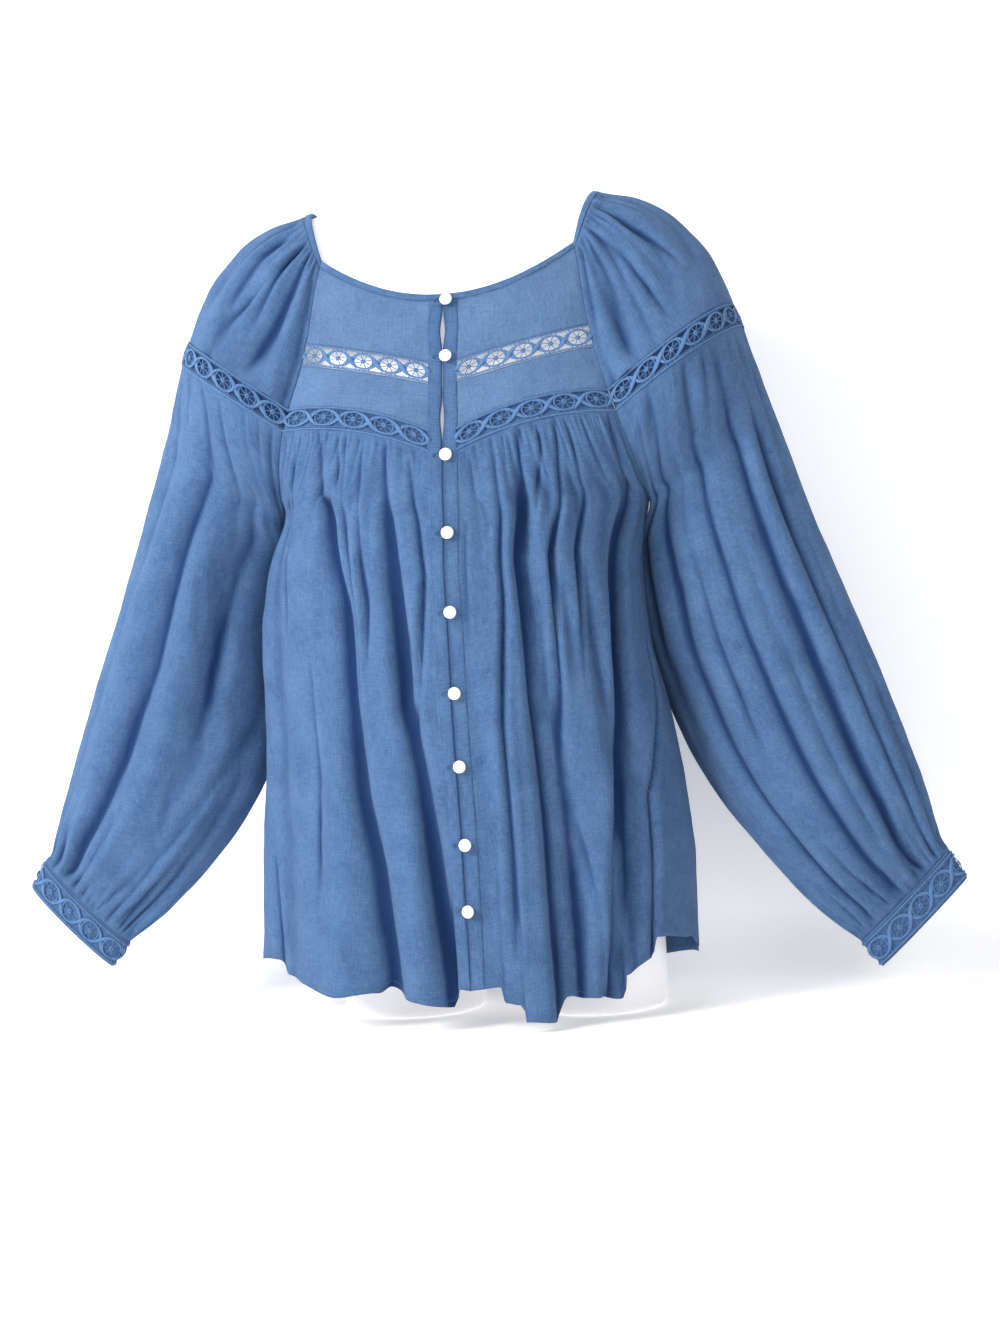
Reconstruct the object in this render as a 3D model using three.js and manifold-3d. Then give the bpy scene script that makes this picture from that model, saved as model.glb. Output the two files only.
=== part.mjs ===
// A long-sleeved peasant blouse on a limbless hanging torso form.
// Millimetres, +Z up. The front faces -Y. The wearer's left is +X.
// The form stands on the flat ends of its two thigh stubs, at z = 0.
import * as THREE from 'three';
import { mergeVertices } from 'three/addons/utils/BufferGeometryUtils.js';
import Module from 'manifold-3d';

const wasm = await Module();
wasm.setup();

// ---------------------------------------------------------------- driving dimensions
const CLOTH = 1.2;              // thickness of a cloth wall
const SEAM_GAP = 0.32;          // room between two pieces at a seam
const TRIM = 1.0;               // thickness of placket and cuff lace
const BINDING_WIDTH = 6.5;
const BINDING_DEPTH = 3.0;
const PLACKET_WIDTH = 13;
const PLACKET_GAP = 1.2;        // between the two centre front edges
const PLACKET_SHARE = 0.0625;   // share of a front's columns that the placket takes
const BUTTON_RADIUS = 5.6;
const BUTTON_DEPTH = 2.6;
const LOOP_RADIUS = 0.75;
const SIDES = { right: -1, left: 1 };
const SLEEVE_TILT = 7;          // the left cuff hangs lower and the right one higher by this

const BLUE = 0x6c8cba;
const LACE_BLUE = 0x4f7cbc;
const WHITE = 0xf1f0ee;
const PEARL = 0xeceae2;

// Seam rows from the neck to the underarm. Each row gives the centre front, the front raglan
// seam, the outer edge of the sleeve, the back raglan seam and the centre back.
// "spread" is how much of a quarter turn the row makes between the centre and its seam, in degrees.
// "vee" is 0 where a row dips evenly to the centre, and up to 1 where its outer half is level.
const UPPER = [
  //       cfY  cfZ   rfX  rfY  rfZ   outX outY outZ  rbX rbY rbZ  cbY cbZ spread vee
  row('neck', -80, 637, 116, -54, 680, 137, 0, 738, 111, 64, 702, 85, 694, 52, -0.6),
  row('shoulder', -86, 617, 120, -63, 656, 168, -2, 732, 117, 73, 681, 91, 674, 56, -0.3),
  row('shoulder2', -91, 598, 123, -69, 632, 197, -3, 717, 123, 80, 655, 95, 650, 59, 0),
  row('lace_high', -96, 578, 127, -74, 608, 219, -4, 695, 128, 85, 630, 98, 626, 62, 0.1),
  row('lace_high_end', -101, 558, 131, -78, 588, 233, -4, 676, 132, 87, 608, 99, 604, 64, 0.2),
  row('yoke', -107, 536, 137, -82, 568, 244, -4, 651, 137, 88, 585, 99, 583, 67, 0.6),
  row('lace_low', -112, 514, 143, -85, 549, 252, -5, 627, 143, 88, 562, 98, 560, 70, 1),
  row('lace_low_end', -115, 494, 149, -86, 529, 260, -5, 606, 149, 86, 540, 97, 540, 72, 1),
  row('chest', -118, 470, 158, -70, 500, 272, -6, 570, 158, 70, 507, 95, 508, 77, 0.8),
  row('armhole', -120, 450, 165, -40, 474, 281, -6, 542, 165, 40, 476, 93, 478, 84, 0.6),
  row('underarm', -121, 434, 168, -6, 455, 288, -6, 519, 168, -6, 455, 92, 455, 90, 0.4),
];

// Levels of the body below the underarm: the side seam, how far the sides sway and the front
// edges drift to one side, and the depth of the centre front and centre back.
const LOWER = [
  //    cfZ  cfY  sideX sideZ sway drift cbY
  level(400, -124, 172, 415, -12, -1, 93),
  level(360, -126, 177, 370, -16, 0, 95),
  level(315, -128, 181, 325, -15, 1, 98),
  level(265, -130, 187, 275, -9, 2, 103),
  level(215, -132, 192, 225, -5, 4, 108),
  level(165, -134, 197, 175, -4, 6, 113),
  level(118, -136, 200, 130, -4, 7, 117),
  level(75, -138, 201, 88, -5, 8, 120),
  level(34, -140, 202, 52, -6, 8, 122),
];

// Sleeve stations from the underarm to the cuff: the outer and inner edge as seen from the front,
// and half the depth from front to back.
const SLEEVE = [
  //      outX outZ inX  inZ  depth
  station(288, 519, 168, 455, 54),
  station(303, 472, 177, 408, 52),
  station(320, 422, 184, 362, 50),
  station(339, 370, 190, 315, 48),
  station(358, 320, 198, 268, 46),
  station(376, 270, 211, 218, 45),
  station(391, 226, 233, 170, 44),
  station(404, 188, 264, 128, 41),
  station(413, 160, 300, 90, 33),
  station(420, 140, 340, 60, 15),
];
const CUFF = [
  station(420.2, 139.6, 340.3, 59.5, 15),
  station(427.5, 127, 349, 48.5, 13.5),
  station(435, 114.5, 358, 37.5, 12),
];
const CAP_DEPTH = 4;            // how far the sleeve head stands out between its seams
const UNDERARM_CLEARANCE = 0.9; // keeps the sleeve's underarm off the side seam

// Long folds of the body. Across runs from 0 at centre front to 1 at the side seam, in the
// wearer's left half when it is positive. Down is the row number, from the neck to the hem.
const FRONT_FOLDS = [
  //   acrossTop acrossHem downTop downEnd width depth
  fold(-0.50, -0.22, 7.4, 19.4, 0.075, -15),
  fold(-0.36, -0.33, 7.6, 14.0, 0.045, -6),
  fold(-0.27, -0.26, 7.4, 13.0, 0.040, -5),
  fold(-0.25, -0.04, 7.6, 19.4, 0.050, -12),
  fold(-0.75, -0.62, 8.5, 19.4, 0.090, -9),
  fold(-0.36, -0.36, 12.0, 19.4, 0.100, 9),
  fold(-0.12, -0.13, 13.0, 19.4, 0.060, 8),
  fold(0.27, 0.33, 7.4, 19.4, 0.060, -15),
  fold(0.37, 0.42, 7.4, 14.0, 0.040, -6),
  fold(0.50, 0.54, 7.4, 19.4, 0.055, -8),
  fold(0.64, 0.66, 7.6, 15.0, 0.045, -5),
  fold(0.82, 0.44, 7.8, 19.4, 0.065, -14),
  fold(0.10, 0.20, 12.0, 19.4, 0.085, 10),
  fold(0.45, 0.46, 13.0, 19.4, 0.070, 7),
];
const BACK_FOLDS = [
  fold(-0.62, -0.70, 7.0, 19.4, 0.090, -11),
  fold(-0.34, -0.40, 2.0, 19.4, 0.075, -10),
  fold(-0.10, -0.14, 3.0, 19.4, 0.060, -9),
  fold(0.12, 0.18, 2.5, 19.4, 0.070, -12),
  fold(0.38, 0.46, 3.0, 19.4, 0.080, -10),
  fold(0.66, 0.74, 7.0, 19.4, 0.085, -12),
  fold(-0.24, -0.26, 11.0, 19.4, 0.080, 8),
  fold(0.02, 0.02, 11.0, 19.4, 0.070, 7),
  fold(0.28, 0.31, 11.0, 19.4, 0.080, 8),
];

// Hem: how far each stretch hangs below the side seam's end.
const FRONT_HEM = [
  hemPoint(-1, -2), hemPoint(-0.8, 0), hemPoint(-0.7, -9), hemPoint(-0.43, -13), hemPoint(-0.2, -5),
  hemPoint(-0.06, -11), hemPoint(0, 4), hemPoint(0.1, 1), hemPoint(0.2, -28), hemPoint(0.27, -29),
  hemPoint(0.32, -10), hemPoint(0.42, -23), hemPoint(0.5, -5), hemPoint(0.6, 0), hemPoint(1, -2),
];
const BACK_HEM = [
  hemPoint(-1, 0), hemPoint(-0.7, -14), hemPoint(-0.4, -22), hemPoint(-0.1, -26), hemPoint(0.2, -24),
  hemPoint(0.5, -20), hemPoint(0.75, -12), hemPoint(1, 0),
];

// Folds of a sleeve. Across runs from the front raglan seam over the outer edge to the back seam.
const SLEEVE_FOLDS = [
  fold(0.10, 0.12, 0, 6.0, 0.055, -6),
  fold(0.26, 0.20, 0, 6.2, 0.045, -5),
  fold(0.40, 0.34, 0, 5.0, 0.045, -5),
  fold(0.60, 0.66, 0, 6.0, 0.055, -6),
  fold(0.80, 0.84, 0, 6.2, 0.050, -5),
  fold(0.14, 0.22, 7.6, 19.6, 0.050, -8),
  fold(0.26, 0.36, 8.0, 19.6, 0.045, -7),
  fold(0.38, 0.47, 9.0, 19.6, 0.040, -6),
  fold(0.07, 0.12, 12.0, 19.6, 0.045, -7),
  fold(0.62, 0.58, 8.0, 19.6, 0.050, -7),
  fold(0.76, 0.70, 8.6, 19.6, 0.050, -8),
  fold(0.90, 0.84, 12.0, 19.6, 0.050, -7),
];

const HIGH_LACE = [3, 4];       // rows that bound the upper yoke lace
const LOW_LACE = [6, 7];        // rows that bound the lower yoke lace and the sleeve lace
const UNDERARM = UPPER.length - 1;
const HEM = UNDERARM + LOWER.length;
const CUFF_SEAM = UNDERARM + SLEEVE.length - 1;

const BUTTON_ROWS = [0.06, 2.7, 6.9, 10.2, 12, 13.5, 14.75, 16.1, 17.35];

// Level rings of the torso form: half width, front depth, back depth and how boxy the ring is.
const TORSO = [
  //   z   halfWidth front back boxy
  ring(88, 118, 52, 60, 2.1),
  ring(100, 148, 70, 82, 2.2),
  ring(150, 163, 78, 92, 2.2),
  ring(230, 150, 72, 80, 2.2),
  ring(310, 128, 70, 60, 2.2),
  ring(370, 128, 76, 60, 2.2),
  ring(430, 138, 90, 66, 2.2),
  ring(490, 146, 100, 74, 2.2),
  ring(550, 152, 92, 82, 2.3),
  ring(600, 166, 80, 86, 2.4),
  ring(640, 182, 68, 82, 2.5),
  ring(670, 190, 58, 75, 2.5),
  ring(695, 190, 50, 66, 2.4),
  ring(710, 181, 43, 56, 2.3),
  ring(722, 167, 37, 46, 2.2),
  ring(731, 150, 34, 42, 2.1),
  ring(736, 132, 34, 42, 2.0),
  ring(739, 110, 35, 43, 2.0),
  ring(742.5, 86, 39, 45, 2.0),
  ring(749, 66, 43, 48, 2.0),
  ring(760, 56, 46, 50, 2.0),
  ring(790, 52, 47, 49, 2.0),
  ring(800, 47, 43, 44, 2.0),
  ring(804, 36, 33, 34, 2.0),
];
const FOOTPRINT_SHIFT = 9.05;   // the front stands further from the form than the back does
const STUB = { x: 84, y: 4, halfWidth: 66, halfDepth: 72, top: 150, edge: 5 };
const FORM_LEAN = { shift: 16, top: 450 };   // the form's foot hangs this far to the left

// ---------------------------------------------------------------- table rows
function row(name, cfY, cfZ, rfX, rfY, rfZ, outX, outY, outZ, rbX, rbY, rbZ, cbY, cbZ, spread, vee) {
  return { name, cfY, cfZ, rfX, rfY, rfZ, outX, outY, outZ, rbX, rbY, rbZ, cbY, cbZ, spread, vee };
}

function level(cfZ, cfY, sideX, sideZ, sway, drift, cbY) {
  return {
    cfY, cfZ, rfX: sideX, rfY: -6, rfZ: sideZ, rbX: sideX, rbY: -6, rbZ: sideZ, cbY, cbZ: sideZ,
    spread: 90, vee: 0, sway, drift,
  };
}

function station(outX, outZ, inX, inZ, depth) {
  return { outX, outZ, inX, inZ, depth, armY: -6 };
}

function fold(acrossTop, acrossHem, downTop, downEnd, width, depth) {
  return { acrossTop, acrossHem, downTop, downEnd, width, depth };
}

function hemPoint(across, drop) {
  return { across, drop };
}

function ring(z, halfWidth, front, back, boxy) {
  return { z, halfWidth, front, back, boxy };
}

// ---------------------------------------------------------------- smooth tables
// Reads one column of a table at a row number that need not be whole, along a smooth curve.
function read(table, key, at) {
  const last = table.length - 1;
  const low = Math.min(Math.max(Math.floor(at), 0), last - 1);
  const t = at - low;
  const value = (i) => table[Math.min(Math.max(i, 0), last)][key] ?? 0;
  const slopeLow = (value(low + 1) - value(low - 1)) / (low > 0 ? 2 : 1);
  const slopeHigh = (value(low + 2) - value(low)) / (low + 2 <= last ? 2 : 1);
  const t2 = t * t;
  const t3 = t2 * t;
  return (2 * t3 - 3 * t2 + 1) * value(low) + (t3 - 2 * t2 + t) * slopeLow
    + (3 * t2 - 2 * t3) * value(low + 1) + (t3 - t2) * slopeHigh;
}

function readHem(table, across) {
  for (let i = 1; i < table.length; i += 1) {
    const a = table[i - 1];
    const b = table[i];
    if (across <= b.across) {
      const t = THREE.MathUtils.smoothstep(across, a.across, b.across);
      return a.drop + (b.drop - a.drop) * t;
    }
  }
  return 0;
}

// Sum of the soft troughs and ridges at one place on a panel.
function foldHeight(folds, across, down) {
  let height = 0;
  for (const f of folds) {
    const along = (down - f.downTop) / (f.downEnd - f.downTop);
    if (along <= 0 || along > 1.2) {
      continue;
    }
    const middle = f.acrossTop + (f.acrossHem - f.acrossTop) * along;
    const spread = f.width * (0.55 + 0.45 * along);
    const off = (across - middle) / spread;
    const fadeIn = THREE.MathUtils.smoothstep(along, 0, 0.25);
    const fadeOut = f.downEnd > HEM - 1 ? 1 : 1 - THREE.MathUtils.smoothstep(along, 0.7, 1);
    height += f.depth * (0.35 + 0.65 * along) * fadeIn * fadeOut * Math.exp(-off * off);
  }
  return height;
}

// ---------------------------------------------------------------- the blouse's surfaces
const BODY = [...UPPER, ...LOWER];

// Front or back of the body. Across is -1 at the right seam, 0 at the centre, 1 at the left seam.
function bodyBase(face, across, down) {
  const side = Math.sign(across) || 1;
  const u = Math.abs(across);
  const isFront = face === 'front';
  const seam = {
    x: read(BODY, isFront ? 'rfX' : 'rbX', down),
    y: read(BODY, isFront ? 'rfY' : 'rbY', down),
    z: read(BODY, isFront ? 'rfZ' : 'rbZ', down),
  };
  const centreY = read(BODY, isFront ? 'cfY' : 'cbY', down);
  const centreZ = read(BODY, isFront ? 'cfZ' : 'cbZ', down);
  const spread = THREE.MathUtils.degToRad(read(BODY, 'spread', down));
  const sway = read(BODY, 'sway', down);
  const drift = isFront ? read(BODY, 'drift', down) : 0;
  const s = Math.sin(spread * u) / Math.sin(spread);
  const c = (1 - Math.cos(spread * u)) / (1 - Math.cos(spread));
  const vee = isFront ? read(BODY, 'vee', down) : 0;
  const level = vee < 0 ? s ** (1 - vee * 1.7) : (1 - vee) * s + vee * (1 - (1 - Math.min(s, 1)) ** 2.2);
  const hemTable = isFront ? FRONT_HEM : BACK_HEM;
  const hemShare = THREE.MathUtils.smoothstep(down, HEM - 4, HEM);
  return new THREE.Vector3(
    side * seam.x * s + sway * s * s + drift * (1 - s * s),
    centreY + (seam.y - centreY) * c,
    centreZ + (seam.z - centreZ) * level + readHem(hemTable, across) * hemShare,
  );
}

// A sleeve on the wearer's left. Across is 0 at the front seam and 1 at the back seam.
// Above the underarm a row is open at the seams; below it the row closes into a ring.
function sleeveBase(across, down) {
  const isFront = across <= 0.5;
  const t = isFront ? across * 2 : (1 - across) * 2;
  const upper = down <= UNDERARM;
  const table = upper ? UPPER : SLEEVE;
  const at = upper ? down : down - UNDERARM;
  const column = (keys) => new THREE.Vector3(...keys.map((key) => read(table, key, at)));
  const seamKeys = isFront ? ['rfX', 'rfY', 'rfZ'] : ['rbX', 'rbY', 'rbZ'];
  const seam = column(upper ? seamKeys : ['inX', 'armY', 'inZ']);
  const outer = column(upper ? ['outX', 'outY', 'outZ'] : ['outX', 'armY', 'outZ']);
  seam.x += UNDERARM_CLEARANCE * THREE.MathUtils.smoothstep(down, UNDERARM - 1, UNDERARM);
  const open = 1 - THREE.MathUtils.smoothstep(down, LOW_LACE[0], UNDERARM);
  const depth = upper
    ? CAP_DEPTH + (SLEEVE[0].depth - CAP_DEPTH) * THREE.MathUtils.smoothstep(down, LOW_LACE[0] - 2, UNDERARM)
    : read(SLEEVE, 'depth', at);
  const quarter = t * Math.PI / 2;
  const half = t * Math.PI;
  const lateral = open * Math.sin(quarter) + (1 - open) * (1 - Math.cos(half)) / 2;
  const inward = open * (1 - Math.cos(quarter)) + (1 - open) * (1 - Math.cos(half)) / 2;
  const bulge = depth * Math.sin(half) * (isFront ? -1 : 1);
  return new THREE.Vector3(
    seam.x + (outer.x - seam.x) * lateral,
    seam.y + (outer.y - seam.y) * inward + bulge,
    seam.z + (outer.z - seam.z) * lateral,
  );
}

// A surface with its folds: each point is moved along the base surface's own normal.
// The folds die out where the piece is sewn to a band, at the row named by flatAt.
function folded(base, folds, flatAt = Infinity) {
  const step = 0.004;
  return (across, down) => {
    const point = base(across, down);
    const east = base(across + step, down).sub(base(across - step, down));
    const south = base(across, down + step * 8).sub(base(across, down - step * 8));
    const normal = south.cross(east).normalize();
    const loose = flatAt === Infinity ? 1 : 1 - THREE.MathUtils.smoothstep(down, flatAt - 0.7, flatAt);
    return point.addScaledVector(normal, foldHeight(folds, across, down) * loose);
  };
}

const frontSurface = folded((across, down) => bodyBase('front', across, down), FRONT_FOLDS);
const backSurface = folded((across, down) => bodyBase('back', across, down), BACK_FOLDS);
const sleeveSurface = folded(sleeveBase, SLEEVE_FOLDS, CUFF_SEAM);

// ---------------------------------------------------------------- cloth walls
function steps(from, to, count) {
  return Array.from({ length: count + 1 }, (_, i) => from + (to - from) * i / count);
}

// Rows of points on a surface, drawn in a little at the edges that meet another piece.
function sample(surface, acrossList, downList, inset = SEAM_GAP / 2) {
  const rows = downList.map((down) => acrossList.map((across) => surface(across, down)));
  const lastRow = rows.length - 1;
  const lastColumn = acrossList.length - 1;
  const drawIn = (edge, next) => {
    const pull = next.clone().sub(edge).normalize().multiplyScalar(inset);
    edge.add(pull);
  };
  for (const points of rows) {
    drawIn(points[0], points[1]);
    drawIn(points[lastColumn], points[lastColumn - 1]);
  }
  for (let column = 0; column <= lastColumn; column += 1) {
    drawIn(rows[0][column], rows[1][column]);
    drawIn(rows[lastRow][column], rows[lastRow - 1][column]);
  }
  return rows;
}

// Normals of a surface at the same places, so that pieces that meet thicken the same way.
function normals(surface, acrossList, downList) {
  const step = 0.01;
  return downList.map((down) => acrossList.map((across) => {
    const east = surface(across + step, down).sub(surface(across - step, down));
    const south = surface(across, down + step).sub(surface(across, down - step));
    return south.cross(east).normalize();
  }));
}

// Closed wall between a face and the same face moved along its normals.
function wall(face, facing, from, to, weldFrom = Infinity) {
  const rowCount = face.length;
  const columnCount = face[0].length;
  const positions = [];
  for (const offset of [from, to]) {
    face.forEach((points, r) => points.forEach((point, c) => {
      const moved = point.clone().addScaledVector(facing[r][c], offset);
      positions.push(moved.x, moved.y, moved.z);
    }));
  }
  const sheet = rowCount * columnCount;
  const index = (r, c, layer) => {
    const column = c === columnCount - 1 && r >= weldFrom ? 0 : c;
    return layer * sheet + r * columnCount + column;
  };
  const triangles = [];
  const quad = (a, b, c, d) => triangles.push(a, b, c, a, c, d);
  for (let r = 0; r < rowCount - 1; r += 1) {
    for (let c = 0; c < columnCount - 1; c += 1) {
      quad(index(r, c, 0), index(r + 1, c, 0), index(r + 1, c + 1, 0), index(r, c + 1, 0));
      quad(index(r, c, 1), index(r, c + 1, 1), index(r + 1, c + 1, 1), index(r + 1, c, 1));
    }
    if (r + 1 <= weldFrom && weldFrom !== 0) {
      quad(index(r, 0, 0), index(r, 0, 1), index(r + 1, 0, 1), index(r + 1, 0, 0));
      const end = columnCount - 1;
      quad(index(r, end, 0), index(r + 1, end, 0), index(r + 1, end, 1), index(r, end, 1));
    }
  }
  for (let c = 0; c < columnCount - 1; c += 1) {
    const end = rowCount - 1;
    quad(index(0, c, 0), index(0, c + 1, 0), index(0, c + 1, 1), index(0, c, 1));
    quad(index(end, c, 0), index(end, c, 1), index(end, c + 1, 1), index(end, c + 1, 0));
  }
  return closedGeometry(positions, triangles);
}

// Merges shared corners and turns the faces outwards if the volume comes out negative.
function closedGeometry(positions, triangles) {
  let geometry = new THREE.BufferGeometry();
  geometry.setAttribute('position', new THREE.Float32BufferAttribute(positions, 3));
  geometry.setIndex(triangles);
  geometry = mergeVertices(geometry.toNonIndexed(), 1e-4);
  const p = geometry.getAttribute('position');
  const ids = geometry.getIndex().array;
  const corner = (i) => new THREE.Vector3().fromBufferAttribute(p, ids[i]);
  let volume = 0;
  for (let i = 0; i < ids.length; i += 3) {
    volume += corner(i).dot(corner(i + 1).cross(corner(i + 2)));
  }
  if (volume < 0) {
    for (let i = 0; i < ids.length; i += 3) {
      [ids[i + 1], ids[i + 2]] = [ids[i + 2], ids[i + 1]];
    }
  }
  geometry.computeVertexNormals();
  return geometry;
}

// ---------------------------------------------------------------- scene
const cloth = new THREE.MeshStandardMaterial({ color: BLUE, roughness: 0.95, metalness: 0, name: 'cloth' });
const lace = new THREE.MeshStandardMaterial({ color: LACE_BLUE, roughness: 0.9, metalness: 0, name: 'lace' });
const shell = new THREE.MeshStandardMaterial({ color: WHITE, roughness: 0.5, metalness: 0, name: 'form' });
const pearl = new THREE.MeshStandardMaterial({ color: PEARL, roughness: 0.25, metalness: 0, name: 'pearl' });

// The whole model is moved so that its footprint is centred on the origin.
const blouse = new THREE.Group();
blouse.name = 'peasant_blouse';
blouse.position.y = FOOTPRINT_SHIFT;

function add(name, geometry, material) {
  const mesh = new THREE.Mesh(geometry, material.clone());
  mesh.name = name;
  blouse.add(mesh);
  return mesh;
}

function addPanel(name, surface, acrossList, downList, material) {
  const face = sample(surface, acrossList, downList);
  const facing = normals(surface, acrossList, downList);
  add(name, wall(face, facing, 0, -CLOTH), material);
}

// ---------------------------------------------------------------- front and back
// Across value of a place that many millimetres from centre front.
function acrossAt(distance, down) {
  const spread = THREE.MathUtils.degToRad(read(BODY, 'spread', down));
  return Math.asin(distance / read(BODY, 'rfX', down) * Math.sin(spread)) / spread;
}

// One front, with its first column under the placket: share runs from 0 at the centre front edge
// over PLACKET_SHARE at the placket's outer edge to 1 at the seam.
function frontHalf(side) {
  return (share, down) => {
    const edge = acrossAt(PLACKET_GAP / 2, down);
    const stitched = acrossAt(PLACKET_WIDTH, down);
    const size = side * share;
    const across = size < PLACKET_SHARE
      ? edge + (stitched - edge) * size / PLACKET_SHARE
      : stitched + (1 - stitched) * (size - PLACKET_SHARE) / (1 - PLACKET_SHARE);
    return frontSurface(side * across, down);
  };
}

function addFronts() {
  const acrossYoke = [0, ...steps(PLACKET_SHARE, 1, 7)];
  const acrossBody = [0, ...steps(PLACKET_SHARE, 1, 15)];
  for (const [name, side] of Object.entries(SIDES)) {
    const order = (list) => (side > 0 ? list : list.map((x) => -x).reverse());
    const surface = frontHalf(side);
    addPanel(`yoke_upper_${name}`, surface, order(acrossYoke), steps(0, HIGH_LACE[0], 3), cloth);
    addPanel(`yoke_lace_upper_${name}`, surface, order(acrossYoke), HIGH_LACE, lace);
    addPanel(`yoke_lower_${name}`, surface, order(acrossYoke), steps(HIGH_LACE[1], LOW_LACE[0], 2), cloth);
    addPanel(`yoke_lace_lower_${name}`, surface, order(acrossYoke), LOW_LACE, lace);
    addPanel(`front_${name}`, surface, order(acrossBody), steps(LOW_LACE[1], HEM, 12), cloth);
  }
}

function addBack() {
  // seen from behind, the wearer's right is on the right, so across runs the other way
  addPanel('back', (across, down) => backSurface(-across, down), steps(-1, 1, 20), steps(0, HEM, 19), cloth);
}

// ---------------------------------------------------------------- sleeves
// The sleeve of one side: mirrored for the right, swayed with the body and hung at its own height.
function sleeveOn(side, shape) {
  return (across, down) => {
    const wrapped = side > 0 ? across : 1 - across;
    const p = shape(wrapped, down);
    const hang = THREE.MathUtils.smoothstep(down, CUFF_SEAM - 3, CUFF_SEAM);
    const near = Math.cos(2 * Math.PI * (wrapped - 0.5)) * -0.5 + 0.5;
    const beside = 1 - THREE.MathUtils.smoothstep(down, UNDERARM + 4, UNDERARM + 7);
    const sway = down > UNDERARM ? read(BODY, 'sway', down) : 0;
    return new THREE.Vector3(side * p.x + sway * near * beside, p.y, p.z - side * SLEEVE_TILT * hang);
  };
}

// The cuff's own surface. Down runs from 0 at the sleeve to 2 at the wrist edge.
function cuffShape(across, down) {
  const isFront = across <= 0.5;
  const half = (isFront ? across : 1 - across) * 2 * Math.PI;
  const lateral = (1 - Math.cos(half)) / 2;
  const inX = read(CUFF, 'inX', down);
  const inZ = read(CUFF, 'inZ', down);
  return new THREE.Vector3(
    inX + (read(CUFF, 'outX', down) - inX) * lateral,
    CUFF[0].armY + read(CUFF, 'depth', down) * Math.sin(half) * (isFront ? -1 : 1),
    inZ + (read(CUFF, 'outZ', down) - inZ) * lateral,
  );
}

// Rings are drawn in at their two ends only, and welded down their whole length.
function sampleRing(surface, acrossList, downList) {
  const rows = sample(surface, acrossList, downList);
  const last = acrossList.length - 1;
  rows.forEach((points, r) => {
    points[0].copy(surface(0, downList[r]));
    points[last].copy(surface(1, downList[r]));
  });
  return rows;
}

function addSleeve(name, side) {
  const surface = sleeveOn(side, sleeveSurface);
  const acrossCap = steps(0, 1, 16);
  addPanel(`sleeve_cap_${name}`, surface, acrossCap, steps(0, LOW_LACE[0], 6), cloth);
  addPanel(`sleeve_lace_${name}`, surface, acrossCap, LOW_LACE, lace);

  const acrossSleeve = steps(0, 1, 24);
  const downSleeve = steps(LOW_LACE[1], CUFF_SEAM, CUFF_SEAM - LOW_LACE[1]);
  const face = sample(surface, acrossSleeve, downSleeve);
  const weldRow = UNDERARM - LOW_LACE[1];
  const last = acrossSleeve.length - 1;
  const facing = normals(surface, acrossSleeve, downSleeve);
  for (let r = weldRow; r < face.length; r += 1) {
    const joined = face[r][0].clone().add(face[r][last]).multiplyScalar(0.5);
    face[r][0].copy(joined);
    face[r][last].copy(joined);
    facing[r][0].add(facing[r][last]).normalize();
  }
  add(`sleeve_${name}`, wall(face, facing, 0, -CLOTH, weldRow), cloth);
}

function addCuff(name, side) {
  const hang = sleeveOn(side, cuffShape);
  const surface = (across, down) => {
    const p = hang(across, down);
    p.z -= side * SLEEVE_TILT;
    return p;
  };
  const around = steps(0, 1, 20);
  const down = [0, 1, 2];
  const facing = normals(surface, around, down);
  for (const frame of facing) {
    frame[0].add(frame[frame.length - 1]).normalize();
  }
  add(`cuff_${name}`, wall(sampleRing(surface, around, down), facing, 0, -CLOTH, 0), cloth);
  const laceFace = sampleRing(surface, around, [0.12, 1, 1.88]);
  add(`cuff_lace_${name}`, wall(laceFace, facing, SEAM_GAP, SEAM_GAP + TRIM, 0), lace);
}

// ---------------------------------------------------------------- neck binding and plackets
// A narrow square binding that stands on the top edges of all five pieces round the neck.
function addBinding() {
  const edges = [
    [(a) => frontHalf(1)(a, 0), (a) => frontHalf(1)(a, 0.02), [0, ...steps(PLACKET_SHARE, 1, 7)]],
    [(a) => sleeveOn(1, sleeveSurface)(a, 0), (a) => sleeveOn(1, sleeveSurface)(a, 0.02), steps(0, 1, 16)],
    [(a) => backSurface(-a, 0), (a) => backSurface(-a, 0.02), steps(-1, 1, 20)],
    [(a) => sleeveOn(-1, sleeveSurface)(a, 0), (a) => sleeveOn(-1, sleeveSurface)(a, 0.02), steps(0, 1, 16)],
    [(a) => frontHalf(-1)(a, 0), (a) => frontHalf(-1)(a, 0.02), [...steps(-1, -PLACKET_SHARE, 7), 0]],
  ];
  const frames = [];
  for (const [top, below, acrossList] of edges) {
    acrossList.forEach((a, i) => {
      const point = top(a);
      const up = point.clone().sub(below(a)).normalize();
      const along = top(a + 0.01).sub(top(a - 0.01)).normalize();
      const out = along.clone().cross(up).normalize();
      const previous = frames.at(-1);
      if (i === 0 && previous) {
        previous.up.add(up).normalize();
        previous.out.add(out).normalize();
      } else {
        frames.push({ point, up, out });
      }
    });
  }
  const low = SEAM_GAP;
  const high = SEAM_GAP + BINDING_WIDTH;
  const proud = (BINDING_DEPTH - CLOTH) / 2;
  const corner = (f, rise, reach) => f.point.clone().addScaledVector(f.up, rise).addScaledVector(f.out, reach);
  const rings = frames.map((f) => [
    corner(f, low, proud), corner(f, high, proud),
    corner(f, high, proud - BINDING_DEPTH), corner(f, low, proud - BINDING_DEPTH),
  ]);
  add('neck_binding', tube(rings), cloth);
}

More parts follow.
